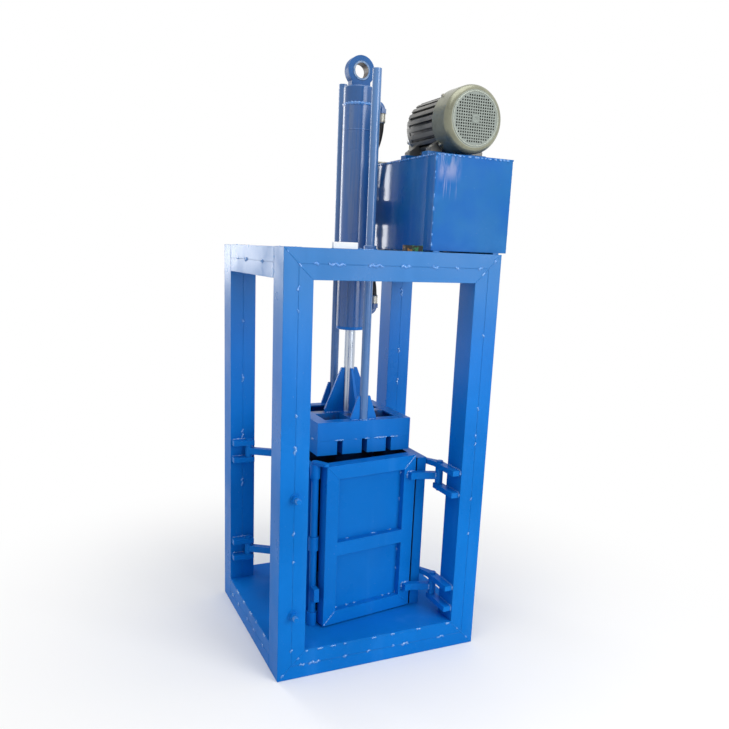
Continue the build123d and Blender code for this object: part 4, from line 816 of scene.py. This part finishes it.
# Door: mitres, tacks in the panes and welds round the arms' ends
PROUD_SEAM, FLUSH_SEAM = (0.006, 0.0016), (0.0036, 0.0006)
RAIL_TACK, STILE_TACK = (0.011, 0.0046), (0.010, 0.0042)
ARM_BEAD, ARM_END_BEAD, KNUCKLE_BEAD = (0.011, 0.0044), (0.016, 0.0062), (0.007, 0.002)
DOOR_LEFT, DOOR_RIGHT, DOOR_FACE, DOOR_SKIN = -0.466, -0.074, 0.0525, 0.0775
DOOR_MEMBER, DOOR_EDGE = 0.052, 0.002
door_low, door_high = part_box("door_frame")
RAIL_LOW, RAIL_HIGH = door_low.z + 0.2732, door_low.z + 0.3252
OUT = -THROUGH_DOOR
door_welds, door_seams = bmesh.new(), bmesh.new()
for x, inward in ((DOOR_LEFT, 1), (DOOR_RIGHT, -1)):
    for z, rise in ((door_low.z, 1), (door_high.z, -1)):
        inset = DOOR_MEMBER - DOOR_EDGE
        corner = door_point(x + inward * DOOR_EDGE, DOOR_FACE, z + rise * DOOR_EDGE)
        inner = door_point(x + inward * inset, DOOR_FACE, z + rise * inset)
        if (x == DOOR_RIGHT) == (rise < 0):
            line(door_welds, corner, inner, OUT, PROUD_SEAM)
        else:
            line(door_seams, corner, inner, OUT, FLUSH_SEAM)
PANE_LEFT, PANE_RIGHT = DOOR_LEFT + DOOR_MEMBER, DOOR_RIGHT - DOOR_MEMBER
LOW_PANE, HIGH_PANE = door_low.z + DOOR_MEMBER, door_high.z - DOOR_MEMBER
RAIL_SHARES, SILL_SHARES = (0.17, 0.56, 0.60, 0.84), (0.03, 0.20, 0.32, 0.78, 0.88)
RAIL_TACK_RUN, STILE_TACK_RUN = 0.015, 0.014
for z, shares in ((RAIL_HIGH, RAIL_SHARES), (LOW_PANE, SILL_SHARES)):
    for share in shares:
        x = PANE_LEFT + share * (PANE_RIGHT - PANE_LEFT)
        start, end = door_point(x, DOOR_SKIN, z), door_point(x + RAIL_TACK_RUN, DOOR_SKIN, z)
        line(door_welds, start, end, OUT + UP, RAIL_TACK)
for z in (HIGH_PANE - 0.012, HIGH_PANE - 0.118, RAIL_LOW - 0.030, RAIL_LOW - 0.110, LOW_PANE + 0.004):
    start, end = door_point(PANE_RIGHT, DOOR_SKIN, z), door_point(PANE_RIGHT, DOOR_SKIN, z - STILE_TACK_RUN)
    line(door_welds, start, end, OUT - ALONG_DOOR, STILE_TACK)
ARM_LEVELS = (0.658, 0.199)
ARM_START, ARM_HALF = -0.112, 0.013
ARM_STOP = DOOR_RIGHT - 0.004
KNUCKLE_X, KNUCKLE_Y = -0.019, -0.004
for z in ARM_LEVELS:
    for rise in (-1, 1):
        start, end = (door_point(x, DOOR_FACE, z + rise * ARM_HALF) for x in (ARM_START, ARM_STOP))
        line(door_welds, start, end, OUT + UP * rise, ARM_BEAD)
    start, end = (door_point(ARM_START, DOOR_FACE, z + rise * ARM_HALF) for rise in (-1, 1))
    line(door_welds, start, end, OUT - ALONG_DOOR, ARM_END_BEAD)
    for rise in (-1, 1):
        start = door_point(KNUCKLE_X, KNUCKLE_Y, z + rise * ARM_HALF)
        line(door_welds, start, start + UP * (-rise) * 2 * ARM_HALF, OUT - ALONG_DOOR, KNUCKLE_BEAD)
mesh_piece("door_welds", door_welds, blue_weld, "front_door")
mesh_piece("door_seams", door_seams, blue, "front_door")

# Lugs, stays, sleeves and brackets
LUG_BEAD, LUG_END_BEAD, REAR_LUG_BEAD = (0.009, 0.0035), (0.015, 0.0058), (0.009, 0.0034)
BRACKET_BEAD, SLEEVE_BEAD = (0.008, 0.003), (0.007, 0.0028)
LUG_LEVELS = (0.6055, 0.6905, 0.1465, 0.2315)
STAY_LEVELS = LUG_LEVELS[1::2]
LUG_THICKNESS, LUG_INSET = 0.020, 0.001
LUG_FRONT, LUG_NOSE = -0.362, -0.3645
STAY_SPAN = (-0.178, -0.152)
fitting_welds = bmesh.new()


def plate_beads(level, ends, outward, size):
    """Beads under and over a lug's plate, between two places in X and Y."""
    for z, rise in ((level, -1), (level + LUG_THICKNESS, 1)):
        start, end = ((x, y, z) for x, y in ends)
        line(fitting_welds, start, end, Vector(outward) + UP * rise, size)


post_inner = RIGHT - MEMBER
for level in LUG_LEVELS:
    plate_beads(level, [(post_inner, y) for y in (LUG_FRONT, BAY_FRONT - EDGE)], (-1, 0, 0), LUG_BEAD)
    start = (post_inner, LUG_NOSE, level + LUG_INSET)
    end = (post_inner, LUG_NOSE, level + LUG_THICKNESS - LUG_INSET)
    line(fitting_welds, start, end, (-1, -1, 0), LUG_END_BEAD)
wall_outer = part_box("chamber_right_wall")[1].x
for level in STAY_LEVELS:
    plate_beads(level, [(wall_outer, y) for y in STAY_SPAN], (1, 0, 0), BRACKET_BEAD)
CLAMP_LEVELS = (0.672, 0.246)
LUG_BELOW, LUG_ABOVE = 0.045, 0.025
REAR_LUG_SPAN = (LEFT + 0.007, LEFT + 0.087)
for clamp_z in CLAMP_LEVELS:
    for level in (clamp_z - LUG_BELOW, clamp_z + LUG_ABOVE):
        plate_beads(level, [(x, BAY_REAR) for x in REAR_LUG_SPAN], (0, -1, 0), REAR_LUG_BEAD)
WALL_ARM_PLACES = (0.186, -0.166)
wall_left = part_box("chamber_left_wall")[0].x
for clamp_z in CLAMP_LEVELS:
    for y in WALL_ARM_PLACES:
        for rise in (-1, 1):
            z = clamp_z + rise * ARM_HALF
            start, end = (wall_left, y - ARM_HALF, z), (wall_left, y + ARM_HALF, z)
            line(fitting_welds, start, end, (-1, 0, rise), BRACKET_BEAD)
SLEEVE_SPANS = ((0.106, 0.159), (0.4049, 0.4579), (0.6822, 0.7352))
SLEEVE_SEAM, SLEEVE_FOOT, SLEEVE_HEAD = 0.011, 0.003, 0.002
# The beads of the walls stop short of the walls' tops and of the rear wall's back
WALL_TOP, WALL_REAR, CORNER_SEAM = 0.716, 0.246, 0.210
FOOT_SPACING, CORNER_SPACING = 0.07, 0.09
lock_place = joint_places["lock_turn"]
wall_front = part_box("chamber_left_wall")[0].y
for low, high in SLEEVE_SPANS:
    top = min(high, WALL_TOP)
    for side in (-1, 1):
        x = lock_place.x + side * SLEEVE_SEAM
        start, end = (x, wall_front, low + SLEEVE_FOOT), (x, wall_front, top - SLEEVE_HEAD)
        line(fitting_welds, start, end, (side, -1, 0), SLEEVE_BEAD)
for x, side in ((wall_outer, 1), (wall_left, -1)):
    tacks(fitting_welds, (x, wall_front, FLOOR_TOP), (x, WALL_REAR, FLOOR_TOP), (side, 0, 1), FOOT_SPACING)
    start, end = (x, CORNER_SEAM, FLOOR_TOP), (x, CORNER_SEAM, WALL_TOP)
    tacks(fitting_welds, start, end, (side, 0, 0), CORNER_SPACING)
mesh_piece("fitting_welds", fitting_welds, blue_weld, "frame")

# Tank: beads round the lid and down the front corners
LID_BEAD, LEFT_CORNER_BEAD, RIGHT_CORNER_BEAD = (0.0075, 0.0030), (0.006, 0.0020), (0.006, 0.0008)
LID_RUN = (0.006, 0.02, (0.007, 0.022), (0.002, 0.012))
CORNER_RUN = (0.012, 0.02, (0.006, 0.016), (0.006, 0.05))
CORNER_ROUND, LID_LEAN = 0.0012, 0.2
tank_welds = bmesh.new()
lid_low, lid_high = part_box("tank_lid")
corners = [(lid_low.x, lid_low.y), (lid_high.x, lid_low.y), (lid_high.x, lid_high.y), (lid_low.x, lid_high.y)]
for index, (x0, y0) in enumerate(corners):
    x1, y1 = corners[(index + 1) % 4]
    outward = Vector((y1 - y0, x0 - x1, 0)).normalized() - UP * LID_LEAN
    run_of_beads(tank_welds, (x0, y0, lid_low.z), (x1, y1, lid_low.z), outward, LID_BEAD, LID_RUN)
for x, side, size in ((tank_low.x, -1, LEFT_CORNER_BEAD), (tank_high.x, 1, RIGHT_CORNER_BEAD)):
    start, end = ((x - side * CORNER_ROUND, tank_low.y + CORNER_ROUND, z) for z in (tank_low.z, tank_high.z))
    run_of_beads(tank_welds, start, end, (side, -1, 0), size, CORNER_RUN)
mesh_piece("tank_welds", tank_welds, blue_weld, "frame")

WASHER_THICKNESS = 0.0016


def hexagon(mesh, place, axis, flats, height, washer=0.0):
    """A bolt head with a chamfered crown, on a washer if it has one."""
    axis = Vector(axis).normalized()
    if washer:
        inner, top = washer * 0.4, WASHER_THICKNESS
        lathe(mesh, [(inner, 0.0), (washer, 0.0), (washer, top), (inner, top + 0.0001)], place, axis)
        place = Vector(place) + axis * top
    radius = flats / math.sqrt(3)
    lathe(mesh, [(radius, 0.0), (radius, 0.82 * height), (0.86 * radius, height)], place, axis, 6)


# Screws of the motor's feet, fan cover, terminal box and pump: across flats, height, and washer's radius
FOOT_SCREW, COVER_SCREW = (0.015, 0.0075, 0.012), (0.009, 0.004, 0.0075)
BOX_SCREW, PUMP_SCREW = (0.008, 0.003), (0.013, 0.008, 0.010)
FOOT_SPREAD, FOOT_INSET, FOOT_THICKNESS = 0.091, 0.024, 0.012
COVER_SCREW_INSET, COVER_SCREW_SINK = 0.009, 0.0004
BOX_INSET = 0.008
PUMP_SPREAD_X, PUMP_SPREAD_Z = 0.024, 0.030
rails_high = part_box("motor_rails")[1]
motor_screws = bmesh.new()
for x in (motor_axis.x - FOOT_SPREAD, motor_axis.x + FOOT_SPREAD):
    for y in (housing_low.y + FOOT_INSET, housing_high.y - FOOT_INSET):
        hexagon(motor_screws, (x, y, rails_high.z + FOOT_THICKNESS), UP, *FOOT_SCREW)
for turn in (45, 135, 225, 315):
    out = Vector((math.cos(math.radians(turn)), 0, math.sin(math.radians(turn))))
    place = motor_axis + out * (COVER_RADIUS - COVER_SCREW_SINK)
    hexagon(motor_screws, (place.x, cover_high.y - COVER_SCREW_INSET, place.z), out, *COVER_SCREW)
box_low, box_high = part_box("motor_terminal_box")
for y in (box_low.y + BOX_INSET, box_high.y - BOX_INSET):
    for z in (box_low.z + BOX_INSET, box_high.z - BOX_INSET):
        hexagon(motor_screws, (box_high.x, y, z), (1, 0, 0), *BOX_SCREW)
pump_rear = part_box("gear_pump")[1].y
for x in (motor_axis.x - PUMP_SPREAD_X, motor_axis.x + PUMP_SPREAD_X):
    for z in (motor_axis.z - PUMP_SPREAD_Z, motor_axis.z + PUMP_SPREAD_Z):
        hexagon(motor_screws, (x, pump_rear, z), (0, 1, 0), *PUMP_SCREW)
mesh_piece("motor_screws", motor_screws, zinc, "frame", smooth=False)

# Rim bead and hub disc of the fan cover
FACE_RADIUS = COVER_RADIUS - 0.024
RIM_RADIUS, RIM_SINK, RIM_STEPS = 0.0022, 0.0004, 12
HUB = [
    (0.0152, -0.0005), (0.0152, 0.0010), (0.0142, 0.0018),
    (0.0048, 0.0022), (0.0044, 0.0012), (0.0008, 0.0012),
]
cover_middle = (motor_axis.x, cover_low.y, motor_axis.z)
cover_trim, cover_hub = bmesh.new(), bmesh.new()
rim = []
for step in range(RIM_STEPS + 1):
    turn = math.pi * step / RIM_STEPS
    rim.append((FACE_RADIUS + RIM_RADIUS * math.cos(turn), RIM_RADIUS * math.sin(turn) - RIM_SINK))
lathe_ring(cover_trim, rim, cover_middle, FACE, 96)
lathe(cover_hub, HUB, cover_middle, FACE, 48)
mesh_piece("cover_hub", cover_hub, cover_grey, "frame")
mesh_piece("cover_trim", cover_trim, rim_highlight_metal, "frame")

# Threads on the tails of the clamp bolts
bolt_low, bolt_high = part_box("clamp_bolts")
nut_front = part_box("clamp_nuts")[0].y
THREAD, THREAD_LIFT = 0.0022, 0.0002
BOLT_RADIUS = 0.009
THREAD_END, THREAD_ROOT, THREAD_CREST = BOLT_RADIUS - 0.001, BOLT_RADIUS + 0.0001, BOLT_RADIUS + 0.0008
turns = int((nut_front - bolt_low.y - THREAD) / THREAD)
profile = [(THREAD_END, 0.0)]
for turn in range(turns):
    profile += [(THREAD_ROOT, turn * THREAD + THREAD_LIFT), (THREAD_CREST, (turn + 0.45) * THREAD),
                (THREAD_CREST, (turn + 0.55) * THREAD), (THREAD_ROOT, (turn + 0.95) * THREAD)]
profile.append((THREAD_END, turns * THREAD + THREAD_LIFT))
threads = bmesh.new()
for z in CLAMP_LEVELS:
    lathe(threads, profile, ((bolt_low.x + bolt_high.x) / 2, nut_front, z), FACE)
mesh_piece("bolt_threads", threads, blue_weld, "frame")

# Screws in the ways of the terminal strip
WAYS, WAY_DEPTH = 4, 0.008
STRIP_SCREW = [(0.0046, 0.0), (0.0046, 0.0030), (0.0038, 0.0046), (0.0012, 0.0050)]
strip_screws = bmesh.new()
for way in range(WAYS):
    x = strip_low.x + (way + 0.5) * (strip_high.x - strip_low.x) / WAYS
    place = (x, strip_middle.y, strip_high.z - WAY_DEPTH)
    lathe(strip_screws, STRIP_SCREW, place, UP, 24)
mesh_piece("strip_screws", strip_screws, brass, "frame")

# Blank white board that stands on the front top beam
BOARD_LOW, BOARD_HIGH = Vector((-0.218, -0.326, TOP)), Vector((-0.131, -0.314, TOP + 0.021))
BOARD_CORNER, BOARD_BEVEL = 0.003, 0.0010
board = bmesh.new()
outline = []
for x, z, first in ((BOARD_HIGH.x, BOARD_HIGH.z, 0), (BOARD_LOW.x, BOARD_HIGH.z, 90),
                    (BOARD_LOW.x, BOARD_LOW.z, 180), (BOARD_HIGH.x, BOARD_LOW.z, 270)):
    inward = Vector((1 if x == BOARD_LOW.x else -1, 0, 1 if z == BOARD_LOW.z else -1)) * BOARD_CORNER
    for step in range(5):
        turn = math.radians(first + 22.5 * step)
        out = Vector((math.cos(turn), 0, math.sin(turn)))
        outline.append(Vector((x, 0, z)) + inward + out * BOARD_CORNER)
faces = [[board.verts.new((point.x, y, point.z)) for point in outline] for y in (BOARD_LOW.y, BOARD_HIGH.y)]
for side in faces:
    board.faces.new(side)
join(board, *faces)
edges = [edge for face in board.faces if len(face.verts) > 4 for edge in face.edges]
bmesh.ops.bevel(board, geom=edges, offset=BOARD_BEVEL, segments=2, affect="EDGES")
mesh_piece("blank_board", board, white_board, "frame", smooth=False)

# Floor and light
SPAN, FLOOR_LEVEL = 40.0, -0.0005
FADE_FROM, FADE_TO = 0.75, 1.9
floor = bpy.data.meshes.new("studio_floor")
floor_corners = [(x * SPAN, y * SPAN, FLOOR_LEVEL) for x, y in ((-1, -1), (1, -1), (1, 1), (-1, 1))]
floor.from_pydata(floor_corners, [], [(0, 1, 2, 3)])
floor_piece = bpy.data.objects.new("studio_floor", floor)
scene.collection.objects.link(floor_piece)
pale = Graph("pale_floor")
pale.colour((0.92, 0.92, 0.92))
pale.put("Roughness", 0.9)
pale.put("Specular IOR Level", 0.1)
floor.materials.append(pale.material)


def seen_directly(tree):
    """One for the rays that show the background: camera, mirror and glass rays."""
    path = tree.nodes.new("ShaderNodeLightPath")
    share = path.outputs["Is Camera Ray"]
    for name in ("Is Glossy Ray", "Is Transmission Ray"):
        either = tree.nodes.new("ShaderNodeMath")
        either.operation = "MAXIMUM"
        tree.links.new(share, either.inputs[0])
        tree.links.new(path.outputs[name], either.inputs[1])
        share = either.outputs["Value"]
    return share


# Away from the object the floor fades into the white backdrop
away = pale.node("VectorMath", operation="LENGTH")
pale.feed(away.inputs[0], pale.coords())
fade = pale.times(seen_directly(pale.tree), pale.ramp(away.outputs["Value"], FADE_FROM, FADE_TO))
white = pale.node("Emission")
white.inputs["Color"].default_value = (1.0, 1.0, 1.0, 1.0)
white.inputs["Strength"].default_value = 1.0
blend = pale.node("MixShader")
pale.feed(blend.inputs[0], fade)
pale.feed(blend.inputs[1], pale.shader.outputs["BSDF"])
pale.feed(blend.inputs[2], white.outputs["Emission"])
pale.feed(pale.tree.nodes["Material Output"].inputs["Surface"], blend.outputs["Shader"])

world = bpy.data.worlds.new("studio")
scene.world = world
world.use_nodes = True
tree = world.node_tree
background = tree.nodes["Background"]
background.inputs["Color"].default_value = (1.0, 1.0, 1.0, 1.0)
level = tree.nodes.new("ShaderNodeMapRange")
AMBIENT, BACKDROP = 0.62, 1.0
level.inputs["To Min"].default_value = AMBIENT
level.inputs["To Max"].default_value = BACKDROP
tree.links.new(seen_directly(tree), level.inputs["Value"])
tree.links.new(level.outputs["Result"], background.inputs["Strength"])


def softbox(name, place, target, size, power):
    """A soft rectangular lamp that looks at a point."""
    data = bpy.data.lights.new(name, "AREA")
    data.shape = "RECTANGLE"
    data.size, data.size_y = size
    data.energy = power
    lamp = bpy.data.objects.new(name, data)
    scene.collection.objects.link(lamp)
    lamp.location = place
    lamp.rotation_mode = "QUATERNION"
    lamp.rotation_quaternion = (Vector(target) - Vector(place)).to_track_quat("-Z", "Y")


softbox("key", (1.9, -4.2, 2.2), (0, 0, 1.1), (2.6, 2.2), 105)
softbox("top", (-0.3, -0.8, 4.6), (0, 0, 0), (3.0, 3.0), 66)
softbox("back_left", (-1.45, 3.6, 2.2), (0, 0, 2.0), (1.0, 2.0), 30)
